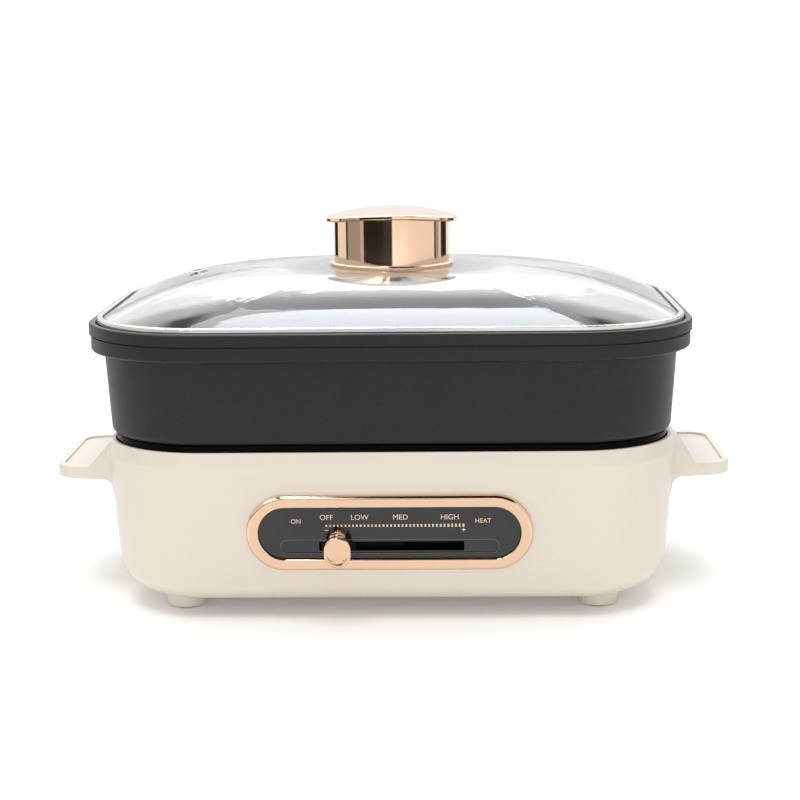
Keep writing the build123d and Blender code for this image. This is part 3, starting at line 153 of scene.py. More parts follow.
class Graph:
    """A node tree that is filled through one method."""

    def __init__(self, tree: bpy.types.NodeTree) -> None:
        """Takes over a tree and empties it."""
        tree.nodes.clear()
        self.tree = tree

    def node(self, kind: str, settings: dict | None = None,
             inputs: dict | None = None) -> bpy.types.Node:
        """Adds a node.

        Args:
            kind: The node's type.
            settings: Properties of the node, set before its sockets.
            inputs: Values or signals for its sockets, by name or number.

        Returns:
            The new node.
        """
        node = self.tree.nodes.new(kind)
        for name, value in (settings or {}).items():
            setattr(node, name, value)
        for key, value in (inputs or {}).items():
            if isinstance(value, Signal):
                self.tree.links.new(value.socket, node.inputs[key])
            else:
                node.inputs[key].default_value = value
        return node

    def signal(self, kind: str, settings: dict | None = None, inputs: dict | None = None,
               output: int | str = 0) -> Signal:
        """Adds a node and wraps one of its outputs.

        Args:
            kind: The node's type.
            settings: Properties of the node.
            inputs: Values or signals for its sockets.
            output: Name or number of the output.

        Returns:
            The wrapped output.
        """
        return Signal(self, self.node(kind, settings, inputs).outputs[output])

    def maths(self, operation: str, first: Signal | float, second: Signal | float) -> Signal:
        """Adds a Math node.

        Args:
            operation: The node's operation.
            first: First operand.
            second: Second operand.

        Returns:
            The result.
        """
        return self.signal("ShaderNodeMath", {"operation": operation}, {0: first, 1: second})

    def mix_colour(self, share: Signal, first: Colour, second: Colour) -> Signal:
        """Blends two colours.

        Args:
            share: Nought gives the first colour and one the second.
            first: First colour.
            second: Second colour.

        Returns:
            The blended colour.
        """
        settings = {"data_type": "RGBA", "blend_type": "MIX"}
        inputs = {0: share, 6: (*first, 1.0), 7: (*second, 1.0)}
        return self.signal("ShaderNodeMix", settings, inputs, 2)

    def place(self, stretch: Triple = (1.0, 1.0, 1.0)) -> Signal:
        """Object coordinates, stretched along the axes.

        Args:
            stretch: How many times the pattern repeats more closely along X, Y and Z.

        Returns:
            The coordinates.
        """
        place = self.signal("ShaderNodeTexCoord", output="Object")
        return self.signal("ShaderNodeMapping", inputs={"Vector": place, "Scale": stretch})

    def noise(self, grain: float, detail: float = 2.0, stretch: Triple = (1.0, 1.0, 1.0)) -> Signal:
        """Soft random pattern from nought to one.

        Args:
            grain: Size of the pattern in metres.
            detail: Octaves of finer pattern.
            stretch: How many times the pattern repeats more closely along X, Y and Z.

        Returns:
            The pattern.
        """
        inputs = {"Vector": self.place(stretch), "Scale": 1.0 / grain, "Detail": detail}
        return self.signal("ShaderNodeTexNoise", inputs=inputs)

    def bump(self, height: Signal, depth: float) -> Signal:
        """Normal bent by a height pattern.

        Args:
            height: Pattern from nought to one.
            depth: Depth of the pattern in metres.

        Returns:
            The normal.
        """
        inputs = {"Height": height, "Distance": depth, "Strength": 1.0}
        return self.signal("ShaderNodeBump", inputs=inputs)

    def glow(self, colour: Colour) -> Signal:
        """Adds a surface that gives off light of one colour."""
        return self.signal("ShaderNodeEmission", inputs={"Color": (*colour, 1.0)})

    def apart(self) -> tuple[Signal, Signal]:
        """Object coordinates along X and along Y, each on its own."""
        node = self.node("ShaderNodeSeparateXYZ", inputs={0: self.place()})
        return Signal(self, node.outputs[0]), Signal(self, node.outputs[1])

    def surface(self, inputs: dict) -> Signal:
        """Adds the principled shader with the given sockets."""
        return self.signal("ShaderNodeBsdfPrincipled", inputs=inputs)


def shade_of(colour: Colour, share: float) -> Colour:
    """A colour made darker or lighter.

    Args:
        colour: The colour to change.
        share: Number that each channel is multiplied by.

    Returns:
        The changed colour.
    """
    return (colour[0] * share, colour[1] * share, colour[2] * share)


def painted(name: str, shade: Callable[[Graph], Signal]) -> bpy.types.Material:
    """Makes a material.

    Args:
        name: Its name.
        shade: Adds its nodes to a tree and returns the shader.

    Returns:
        The material.
    """
    material = bpy.data.materials.new(name)
    material.use_nodes = True
    graph = Graph(material.node_tree)
    graph.node("ShaderNodeOutputMaterial", inputs={"Surface": shade(graph)})
    return material


@dataclass(frozen=True)
class Finish:
    """A surface finish under one name; each kind has nodes of its own."""

    name: str

    def material(self) -> bpy.types.Material:
        """The finish's material, made at its first use."""
        name = self.name + "_finish"
        if name in bpy.data.materials:
            return bpy.data.materials[name]
        return painted(name, self.shade)

    def shade(self, graph: Graph) -> Signal:
        """Adds the finish's nodes.

        Args:
            graph: The material's tree.

        Returns:
            The shader.
        """
        raise NotImplementedError

    def put_on(self, piece: bpy.types.Object) -> None:
        """Gives a piece this finish all over."""
        piece.data.materials.clear()
        piece.data.materials.append(self.material())


@dataclass(frozen=True)
class MouldedPlastic(Finish):
    """Moulded plastic with a fine skin, slight clouding and an uneven gloss."""

    colour: Colour
    roughness: float = 0.4
    skin: float = 0.0007
    relief: float = 0.00003
    clouding: float = 0.03
    coat: float = 0.0
    specular: float = 0.5
    coat_roughness: float = 0.12
    cloud_size: float = 0.06
    gloss_size: float = 0.02
    gloss_swing: float = 0.2
    skin_swing: float = 0.06

    def shade(self, graph: Graph) -> Signal:
        """Adds the clouded colour, the uneven gloss and the moulded skin."""
        cloud = graph.noise(self.cloud_size, detail=3.0)
        skin = graph.noise(self.skin, detail=3.0)
        swing = 1.0 - self.gloss_swing / 2 + self.gloss_swing * graph.noise(self.gloss_size)
        clouded = shade_of(self.colour, 1.0 - self.clouding)
        return graph.surface({
            "Base Color": graph.mix_colour(cloud, clouded, self.colour),
            "Roughness": self.roughness * swing + self.skin_swing * (skin - 0.5),
            "Specular IOR Level": self.specular,
            "Coat Weight": self.coat,
            "Coat Roughness": self.coat_roughness,
            "Normal": graph.bump(skin, self.relief),
        })


@dataclass(frozen=True)
class PolishedMetal(Finish):
    """Polished metal with faint hairlines and a gloss that varies a little."""

    colour: Colour
    roughness: float = 0.08
    hairline: float = 0.0012
    stretch: Triple = (1.0, 1.0, 14.0)
    relief: float = 0.0000001
    cloud_size: float = 0.03
    dullest: float = 0.96
    line_swing: float = 0.4
    cloud_swing: float = 0.02

    def shade(self, graph: Graph) -> Signal:
        """Adds the hairlines and the slightly clouded colour."""
        lines = graph.noise(self.hairline, stretch=self.stretch)
        cloud = graph.noise(self.cloud_size)
        swing = 1.0 - self.line_swing / 2 + self.line_swing * lines
        return graph.surface({
            "Base Color": graph.mix_colour(cloud, shade_of(self.colour, self.dullest), self.colour),
            "Metallic": 1.0,
            "Roughness": self.roughness * swing + self.cloud_swing * cloud,
            "Normal": graph.bump(lines, self.relief),
        })


@dataclass(frozen=True)
class HeatedMetal(Finish):
    """Bare metal that heat has browned in patches."""

    colour: Colour
    tint: Colour
    roughness: float = 0.4
    patch_size: float = 0.03
    grain: float = 0.0008
    grain_swing: float = 0.2
    relief: float = 0.00002

    def shade(self, graph: Graph) -> Signal:
        """Adds the browned patches and the fine drawn grain."""
        patches = graph.noise(self.patch_size, detail=4.0)
        grain = graph.noise(self.grain)
        return graph.surface({
            "Base Color": graph.mix_colour(patches, self.colour, self.tint),
            "Metallic": 1.0,
            "Roughness": self.roughness + self.grain_swing * (grain - 0.5),
            "Normal": graph.bump(grain, self.relief),
        })


@dataclass(frozen=True)
class NonStickCoat(Finish):
    """Sprayed non-stick coat: dark satin, faintly pebbled, with fine paler flecks."""

    colour: Colour
    fleck: Colour
    roughness: float = 0.42
    pebble: float = 0.0011
    pebble_swing: float = 0.1
    relief: float = 0.000025
    fleck_cell: float = 0.0016
    fleck_radius: float = 0.1625
    fleck_patch: float = 0.004
    fleck_rareness: float = 0.58
    fleck_weight: float = 0.5
    sheen_size: float = 0.03
    sheen_swing: float = 0.16
    specular: float = 0.3

    def shade(self, graph: Graph) -> Signal:
        """Adds the pebbled skin, the flecks and the uneven sheen."""
        pebbles = graph.noise(self.pebble, detail=3.0)
        inputs = {"Vector": graph.place(), "Scale": 1.0 / self.fleck_cell}
        cells = graph.signal("ShaderNodeTexVoronoi", inputs=inputs)
        patches = graph.noise(self.fleck_patch, detail=1.0).above(self.fleck_rareness)
        flecks = self.fleck_weight * ((self.fleck_radius - cells).above(0.0) * patches)
        sheen = self.sheen_swing * (graph.noise(self.sheen_size, detail=3.0) - 0.5)
        return graph.surface({
            "Base Color": graph.mix_colour(flecks, self.colour, self.fleck),
            "Roughness": self.roughness + sheen + self.pebble_swing * (pebbles - 0.5),
            "Specular IOR Level": self.specular,
            "Normal": graph.bump(pebbles, self.relief),
        })


@dataclass(frozen=True)
class ClearGlass(Finish):
    """Clear toughened glass with a trace of smears."""

    colour: Colour
    refraction: float = 1.5
    smear: float = 0.03
    smear_size: float = 0.035
    smear_stretch: Triple = (1.0, 2.0, 1.0)
    haze: float = 0.45
    haze_reach: float = 0.075

    def shade(self, graph: Graph) -> Signal:
        """Adds the clear body, its smears and the haze that hands leave round the knob."""
        smears = graph.noise(self.smear_size, detail=4.0, stretch=self.smear_stretch)
        level = graph.place(stretch=(1.0, 1.0, 0.0))
        spread = graph.signal("ShaderNodeVectorMath", {"operation": "LENGTH"}, {0: level}, 1)
        handled = 1.0 - (spread / self.haze_reach).at_most(1.0)
        return graph.surface({
            "Base Color": (*self.colour, 1.0),
            "Roughness": self.smear * (smears ** 2.0) + self.haze * handled,
            "IOR": self.refraction,
            "Transmission Weight": 1.0,
        })


@dataclass(frozen=True)
class WovenSleeve(Finish):
    """Braided sleeve of an inner lead."""

    colour: Colour
    thread: float = 0.0006
    bands: float = 0.1
    crossing: float = 1.5
    roughness: float = 0.75
    thread_swing: float = 0.1
    relief: float = 0.0001
    valley: float = 0.7

    def shade(self, graph: Graph) -> Signal:
        """Adds the crossing threads."""
        settings = {"wave_type": "BANDS", "bands_direction": "DIAGONAL"}
        inputs = {"Vector": graph.place(), "Scale": self.bands / self.thread,
                  "Distortion": self.crossing}
        threads = graph.signal("ShaderNodeTexWave", settings, inputs, "Fac")
        darkest = shade_of(self.colour, self.valley)
        return graph.surface({
            "Base Color": graph.mix_colour(threads, darkest, self.colour),
            "Roughness": self.roughness + self.thread_swing * threads,
            "Normal": graph.bump(threads, self.relief),
        })


class Finishes(Enum):
    """The object's finishes."""

    CREAM = MouldedPlastic("cream_plastic", (0.80, 0.728, 0.625), roughness=0.36, coat=0.12)
    # black plastic plus painted shade: colour and reflection set darker than real black plastic,
    # for the shaded gap under the pan
    BLACK_COLLAR_IN_SHADE = MouldedPlastic("black_collar_painted_shade", (0.001, 0.001, 0.001), roughness=0.16, skin=0.003,
                                  relief=0.000006, clouding=0.1, specular=0.04)
    # dark plastic plus painted shade: darker than the plastic, with reflection cut, for the shade
    # inside the slot
    SLOT_BLACK_IN_SHADE = MouldedPlastic("slot_black_painted_shade", (0.004, 0.004, 0.004), roughness=0.5, specular=0.1)
    BLACK_GLOSS = MouldedPlastic("black_gloss", (0.011, 0.011, 0.011), roughness=0.12, skin=0.003,
                                 relief=0.000006, clouding=0.1, coat=0.3)
    DARK_PLASTIC = MouldedPlastic("dark_plastic", (0.03, 0.03, 0.03), roughness=0.55)
    ACETAL = MouldedPlastic("white_acetal", (0.80, 0.80, 0.77), roughness=0.45)
    SMOKED = MouldedPlastic("smoked_lens", (0.014, 0.013, 0.012), roughness=0.1, skin=0.003,
                            relief=0.000004, clouding=0.1, coat=0.4)
    LAMP = MouldedPlastic("lamp_amber", (0.75, 0.22, 0.06), roughness=0.2, coat=0.5)
    CERAMIC = MouldedPlastic("white_ceramic", (0.80, 0.78, 0.72), roughness=0.6, skin=0.0009,
                             relief=0.00006)
    RUBBER = MouldedPlastic("soft_rubber", (0.03, 0.03, 0.03), roughness=0.8, skin=0.0009,
                            relief=0.00008)
    ROSE_GOLD = PolishedMetal("rose_gold", (0.82, 0.57, 0.40))
    STEEL = PolishedMetal("bright_steel", (0.66, 0.65, 0.63), roughness=0.16)
    PLAIN_STEEL = HeatedMetal("well_steel", (0.60, 0.60, 0.59), tint=(0.50, 0.47, 0.42),
                              roughness=0.32)
    SHEATH = HeatedMetal("heater_sheath", (0.24, 0.23, 0.22), tint=(0.13, 0.10, 0.085),
                         roughness=0.5)
    ALUMINIUM = HeatedMetal("plain_aluminium", (0.74, 0.74, 0.74), tint=(0.68, 0.67, 0.65),
                            roughness=0.35)
    BRASS = HeatedMetal("plain_brass", (0.80, 0.60, 0.27), tint=(0.66, 0.47, 0.20),
                        roughness=0.3)
    COAT = NonStickCoat("non_stick_coat", (0.013, 0.013, 0.013), fleck=(0.07, 0.07, 0.07))
    GLASS = ClearGlass("clear_glass", (0.975, 0.985, 0.985))
    SLEEVE = WovenSleeve("woven_sleeve", (0.62, 0.60, 0.54))
    # painted highlight: pale grey standing in for light caught on the rounded edge of the sunk
    # track
    TRACK_HIGHLIGHT = MouldedPlastic("painted_track_highlight", (0.17, 0.17, 0.165), roughness=0.3, skin=0.0004,
                                relief=0.00001)
    PRINT = MouldedPlastic("panel_print", (0.82, 0.63, 0.50), roughness=0.5, skin=0.0004,
                           relief=0.00001)


def select_only(piece: bpy.types.Object) -> None:
    """Leaves one object selected and active."""
    bpy.ops.object.select_all(action="DESELECT")
    piece.select_set(True)
    bpy.context.view_layer.objects.active = piece


def settle(piece: bpy.types.Object, place: Matrix) -> None:
    """Moves a piece to its place and puts that place into its mesh.

    Args:
        piece: The piece to move.
        place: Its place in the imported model's frame.
    """
    piece.matrix_world = place @ piece.matrix_world
    select_only(piece)
    bpy.ops.object.transform_apply(location=True, rotation=True, scale=True)


@dataclass
class Dresser:
    """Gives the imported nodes, kept by name, their finishes."""

    nodes: dict[str, bpy.types.Object]

    def dress(self, finish: Finishes, *names: str) -> None:
        """Puts one finish on several nodes.

        Args:
            finish: The finish.
            names: The nodes' names.
        """
        for name in names:
            finish.value.put_on(self.nodes[name])
            LOG.info("%s: %s", name, finish.value.name)


@dataclass
class Base:
    """The cream tub with its handles, feet and cover, and what is hidden in it."""

    dresser: Dresser

    def build(self) -> None:
        """Dresses the base's nodes."""
        dress = self.dresser.dress
        feet = [f"{end}_{side}_foot" for end in ("front", "back") for side in ("left", "right")]
        dress(Finishes.CREAM, "base_shell", "left_handle", "right_handle", "bottom_cover", *feet)
        dress(Finishes.RUBBER, "foot_pads")
        dress(Finishes.STEEL, "handle_screws", "cover_screws", "foot_screws", "inlet_screws")
        dress(Finishes.DARK_PLASTIC, "power_inlet")
        dress(Finishes.BRASS, "inlet_pins")
        dress(Finishes.ALUMINIUM, "thermal_fuse")
        dress(Finishes.SLEEVE, "inlet_lead", "heater_lead", "fuse_lead", "return_lead")


@dataclass
class HeaterDeck:
    """The black collar, the well with its heater, and the sprung sensor."""

    dresser: Dresser
    coil_radius: float = 0.00525
    wire_radius: float = 0.0006
    coil_turns: int = 7
    coil_steps: int = 28
    wire_sides: int = 10
    press: float = 0.003

    def build(self) -> None:
        """Dresses the deck's nodes and winds the sensor's spring."""
        dress = self.dresser.dress
        dress(Finishes.BLACK_COLLAR_IN_SHADE, "support_ring")
        dress(Finishes.PLAIN_STEEL, "heater_well", "element_clips", "sensor_clip")
        dress(Finishes.STEEL, "deck_screws")
        dress(Finishes.SHEATH, "heating_element")
        dress(Finishes.CERAMIC, "element_bushes")
        dress(Finishes.ALUMINIUM, "sensor_sleeve", "sensor_cap")
        self.wind_spring()

    def wind_spring(self) -> None:
        """Winds the sensor's spring from a ring of wire and lets it move with the sensor."""
        low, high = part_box("sensor_spring")
        middle = (low + high) / 2
        rise = high.z - low.z - 2 * self.wire_radius
        bpy.ops.object.select_all(action="DESELECT")
        bpy.ops.mesh.primitive_circle_add(vertices=self.wire_sides, radius=self.wire_radius,
                                          location=(self.coil_radius, 0, 0),
                                          rotation=(math.pi / 2, 0, 0))
        spring = bpy.context.object
        spring.name = "sensor_coil"
        bpy.ops.object.transform_apply(location=True, rotation=True, scale=True)
        winding = spring.modifiers.new("winding", "SCREW")
        winding.axis = "Z"
        winding.iterations = self.coil_turns
        winding.screw_offset = rise / self.coil_turns
        winding.steps = self.coil_steps
        winding.render_steps = self.coil_steps
        bpy.ops.object.modifier_apply(modifier=winding.name)
        bpy.ops.object.mode_set(mode="EDIT")
        bpy.ops.mesh.select_all(action="SELECT")
        bpy.ops.mesh.fill_holes(sides=self.wire_sides)
        bpy.ops.mesh.select_all(action="SELECT")
        bpy.ops.mesh.normals_make_consistent(inside=False)
        bpy.ops.object.mode_set(mode="OBJECT")
        bpy.ops.object.shade_smooth_by_angle(angle=SMOOTH_ANGLE)
        settle(spring, Matrix.Translation((middle.x, middle.y, low.z + self.wire_radius)))
        Finishes.STEEL.value.put_on(spring)
        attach(spring, "sensor")
        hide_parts("sensor_spring")
        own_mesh(spring)
        LOG.info("sensor_coil wound with %d turns", self.coil_turns)


@dataclass
class ControlPanel:
    """The rose-gold bezel, the fascia and its print, and the slide control.

    Places on the fascia are measured across it to the right and up it, from the panel's middle.
    """

    dresser: Dresser
    middle: Triple = (0.0, -0.1125568, 0.0532)
    lean: float = math.radians(4.0)
    face: float = 0.0012
    ink: float = 0.00006
    bar_count: int = 37
    bar_width: float = 0.0010
    bar_low: float = 0.0011
    bar_high: float = 0.0019
    bar_first: float = -0.0362
    bar_last: float = 0.0425
    bar_line: float = 0.0043
    mark_line: float = 0.0017
    mark_length: float = 0.0022
    mark_width: float = 0.0004
    mark_round: float = 0.0001
    mark_steps: int = 2
    legend_line: float = 0.0092
    legend_size: float = 0.0044
    low_place: float = -0.0171
    medium_place: float = 0.0063
    high_share: float = 0.9
    track_length: float = 0.1254
    track_height: float = 0.0080
    track_line: float = -0.0083
    highlight_width: float = 0.00022
    highlight_round: float = 0.495
    highlight_steps: int = 16
    lamp_place: float = 0.0537
    lamp_line: float = 0.0069
    lamp_size: float = 0.0037

    def place(self) -> Matrix:
        """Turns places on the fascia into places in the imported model's frame."""
        across = Vector((1.0, 0.0, 0.0))
        upward = Vector((0.0, -math.sin(self.lean), math.cos(self.lean)))
        outward = Vector((0.0, -math.cos(self.lean), -math.sin(self.lean)))
        matrix = Matrix((across, upward, outward)).transposed().to_4x4()
        matrix.translation = Vector(self.middle) + outward * self.face
        return matrix

    def build(self) -> None:
        """Dresses the panel's nodes, prints the fascia and paints the track's highlight."""
        dress = self.dresser.dress
        dress(Finishes.ROSE_GOLD, "panel_bezel", "slider_knob")
        dress(Finishes.BLACK_GLOSS, "control_panel")
        dress(Finishes.SMOKED, "on_lamp_lens", "heat_lamp_lens")
        dress(Finishes.LAMP, "indicator_lamps")
        dress(Finishes.SLOT_BLACK_IN_SHADE, "slide_frame", "carriage_retainer", "slider_carriage")
        dress(Finishes.DARK_PLASTIC, "thermostat_body")
        dress(Finishes.STEEL, "bezel_screws", "retainer_screws", "slider_screw", "bracket_screws")
        dress(Finishes.PLAIN_STEEL, "thermostat_bracket")
        dress(Finishes.BRASS, "thermostat_nut", "thermostat_spindle", "thermostat_tabs")
        dress(Finishes.ACETAL, "drive_pinion")
        self.print_scale()
        self.print_legends()
        self.paint_track_highlight()

    def add_patch(self, across: float, upward: float, width: float, height: float) -> None:
        """Adds one flat patch of ink to the mesh in edit mode.

        Args:
            across: Place of its middle to the right.
            upward: Place of its middle up the fascia.
            width: Its width.
            height: Its height.
        """
        bpy.ops.mesh.primitive_plane_add(size=1.0, location=(across, upward, 0.0))
        bpy.ops.transform.resize(value=(width, height, 1.0), center_override=(across, upward, 0.0))

    def thicken(self) -> None:
        """Gives the flat mesh in edit mode the ink's thickness, and leaves edit mode."""
        bpy.ops.mesh.select_all(action="SELECT")
        bpy.ops.mesh.extrude_region_move(TRANSFORM_OT_translate={"value": (0.0, 0.0, self.ink)})
        bpy.ops.mesh.select_all(action="SELECT")
        bpy.ops.mesh.normals_make_consistent(inside=False)
        bpy.ops.object.mode_set(mode="OBJECT")

    def print_scale(self) -> None:
        """Prints the row of bars that grow from left to right, and the marks at its ends."""
        bpy.ops.object.select_all(action="DESELECT")
        bpy.ops.mesh.primitive_plane_add(size=1.0)
        scale = bpy.context.object
        scale.name = "scale_print"
        bpy.ops.object.mode_set(mode="EDIT")
        bpy.ops.mesh.delete(type="VERT")
        for index in range(self.bar_count):
            share = index / (self.bar_count - 1)
            height = self.bar_low + (self.bar_high - self.bar_low) * share
            across = self.bar_first + (self.bar_last - self.bar_first) * share
            self.add_patch(across, self.bar_line, self.bar_width, height)
        self.add_patch(self.bar_first, self.mark_line, self.mark_length, self.mark_width)
        self.add_patch(self.bar_last, self.mark_line, self.mark_length, self.mark_width)
        arm = (self.mark_length - self.mark_width) / 2
        for side in (-1, 1):
            upward = self.mark_line + side * (arm + self.mark_width) / 2
            self.add_patch(self.bar_last, upward, self.mark_width, arm)
        bpy.ops.mesh.select_all(action="SELECT")
        bpy.ops.mesh.bevel(offset=self.mark_round, segments=self.mark_steps, affect="VERTICES")
        self.thicken()
        self.lay_on_fascia(scale, Finishes.PRINT)

    def print_legends(self) -> None:
        """Prints the plain words over the scale and the lamps."""
        high_place = self.bar_first + (self.bar_last - self.bar_first) * self.high_share
        words = [("OFF", self.bar_first, self.legend_line, self.legend_size),
                 ("LOW", self.low_place, self.legend_line, self.legend_size),
                 ("MED", self.medium_place, self.legend_line, self.legend_size),
                 ("HIGH", high_place, self.legend_line, self.legend_size),
                 ("ON", -self.lamp_place, self.lamp_line, self.lamp_size),
                 ("HEAT", self.lamp_place, self.lamp_line, self.lamp_size)]
        pieces = [self.word(*word) for word in words]
        bpy.ops.object.select_all(action="DESELECT")
        for piece in pieces:
            piece.select_set(True)
        bpy.context.view_layer.objects.active = pieces[0]
        bpy.ops.object.join()
        legends = bpy.context.object
        legends.name = "legend_print"
        self.lay_on_fascia(legends, Finishes.PRINT)

    def word(self, text: str, across: float, upward: float, size: float) -> bpy.types.Object:
        """Makes one printed word as a mesh, flat on the fascia's plane.

        Args:
            text: The word.
            across: Place of its middle to the right.
            upward: Place of its middle up the fascia.
            size: Size of the letters.

        Returns:
            The word's object.
        """
        bpy.ops.object.select_all(action="DESELECT")
        bpy.ops.object.text_add()
        piece = bpy.context.object
        piece.data.body = text
        piece.data.size = size
        piece.data.align_x = "CENTER"
        piece.data.align_y = "CENTER"
        piece.data.extrude = self.ink / 2
        bpy.ops.object.convert(target="MESH")
        settle(piece, Matrix.Translation((across, upward, self.ink / 2)))
        return piece

    def paint_track_highlight(self) -> None:
        """Draws a painted highlight, a pale ring round the sunk track that the slider runs in."""
        length = self.track_length + 2 * self.highlight_width
        height = self.track_height + 2 * self.highlight_width
        bpy.ops.object.select_all(action="DESELECT")
        bpy.ops.mesh.primitive_plane_add(size=1.0)
        edge = bpy.context.object
        edge.name = "painted_track_highlight"
        bpy.ops.transform.resize(value=(length, height, 1.0))
        bpy.ops.object.transform_apply(location=True, rotation=True, scale=True)
        bpy.ops.object.mode_set(mode="EDIT")
        bpy.ops.mesh.select_all(action="SELECT")
        bpy.ops.mesh.bevel(offset=height * self.highlight_round, segments=self.highlight_steps,
                           affect="VERTICES")
        bpy.ops.mesh.select_all(action="SELECT")
        bpy.ops.mesh.inset(thickness=self.highlight_width)
        bpy.ops.mesh.delete(type="FACE")
        self.thicken()
        settle(edge, Matrix.Translation((0.0, self.track_line, 0.0)))
        self.lay_on_fascia(edge, Finishes.TRACK_HIGHLIGHT)

    def lay_on_fascia(self, piece: bpy.types.Object, finish: Finishes) -> None:
        """Puts a print or the painted track highlight on the fascia and on the base.

        Args:
            piece: The print or the painted highlight, flat on the fascia's plane.
            finish: Its finish.
        """
        settle(piece, self.place())
        finish.value.put_on(piece)
        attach(piece, "base")
        LOG.info("%s on the fascia", piece.name)


@dataclass
class Pan:
    """The deep coated pan."""

    dresser: Dresser

    def build(self) -> None:
        """Dresses the pan."""
        self.dresser.dress(Finishes.COAT, "pan")


@dataclass
class Lid:
    """The glass lid with its hoop, vent and knob."""

    dresser: Dresser

    def build(self) -> None:
        """Dresses the lid's nodes."""
        dress = self.dresser.dress
        dress(Finishes.GLASS, "lid_glass")
        dress(Finishes.STEEL, "lid_hoop", "vent_eyelet", "knob_screw", "locating_pin")
        dress(Finishes.RUBBER, "lid_gasket", "knob_washer")
        dress(Finishes.ROSE_GOLD, "knob_body", "knob_cap")


@dataclass(frozen=True)
class Card:
    """An upright card round the knob, between two bearings in degrees."""

    start: float
    end: float
    light: float

    def shade(self, graph: Graph) -> Signal:
        """Adds the card's even light."""
        return graph.glow(shade_of(WHITE, self.light))


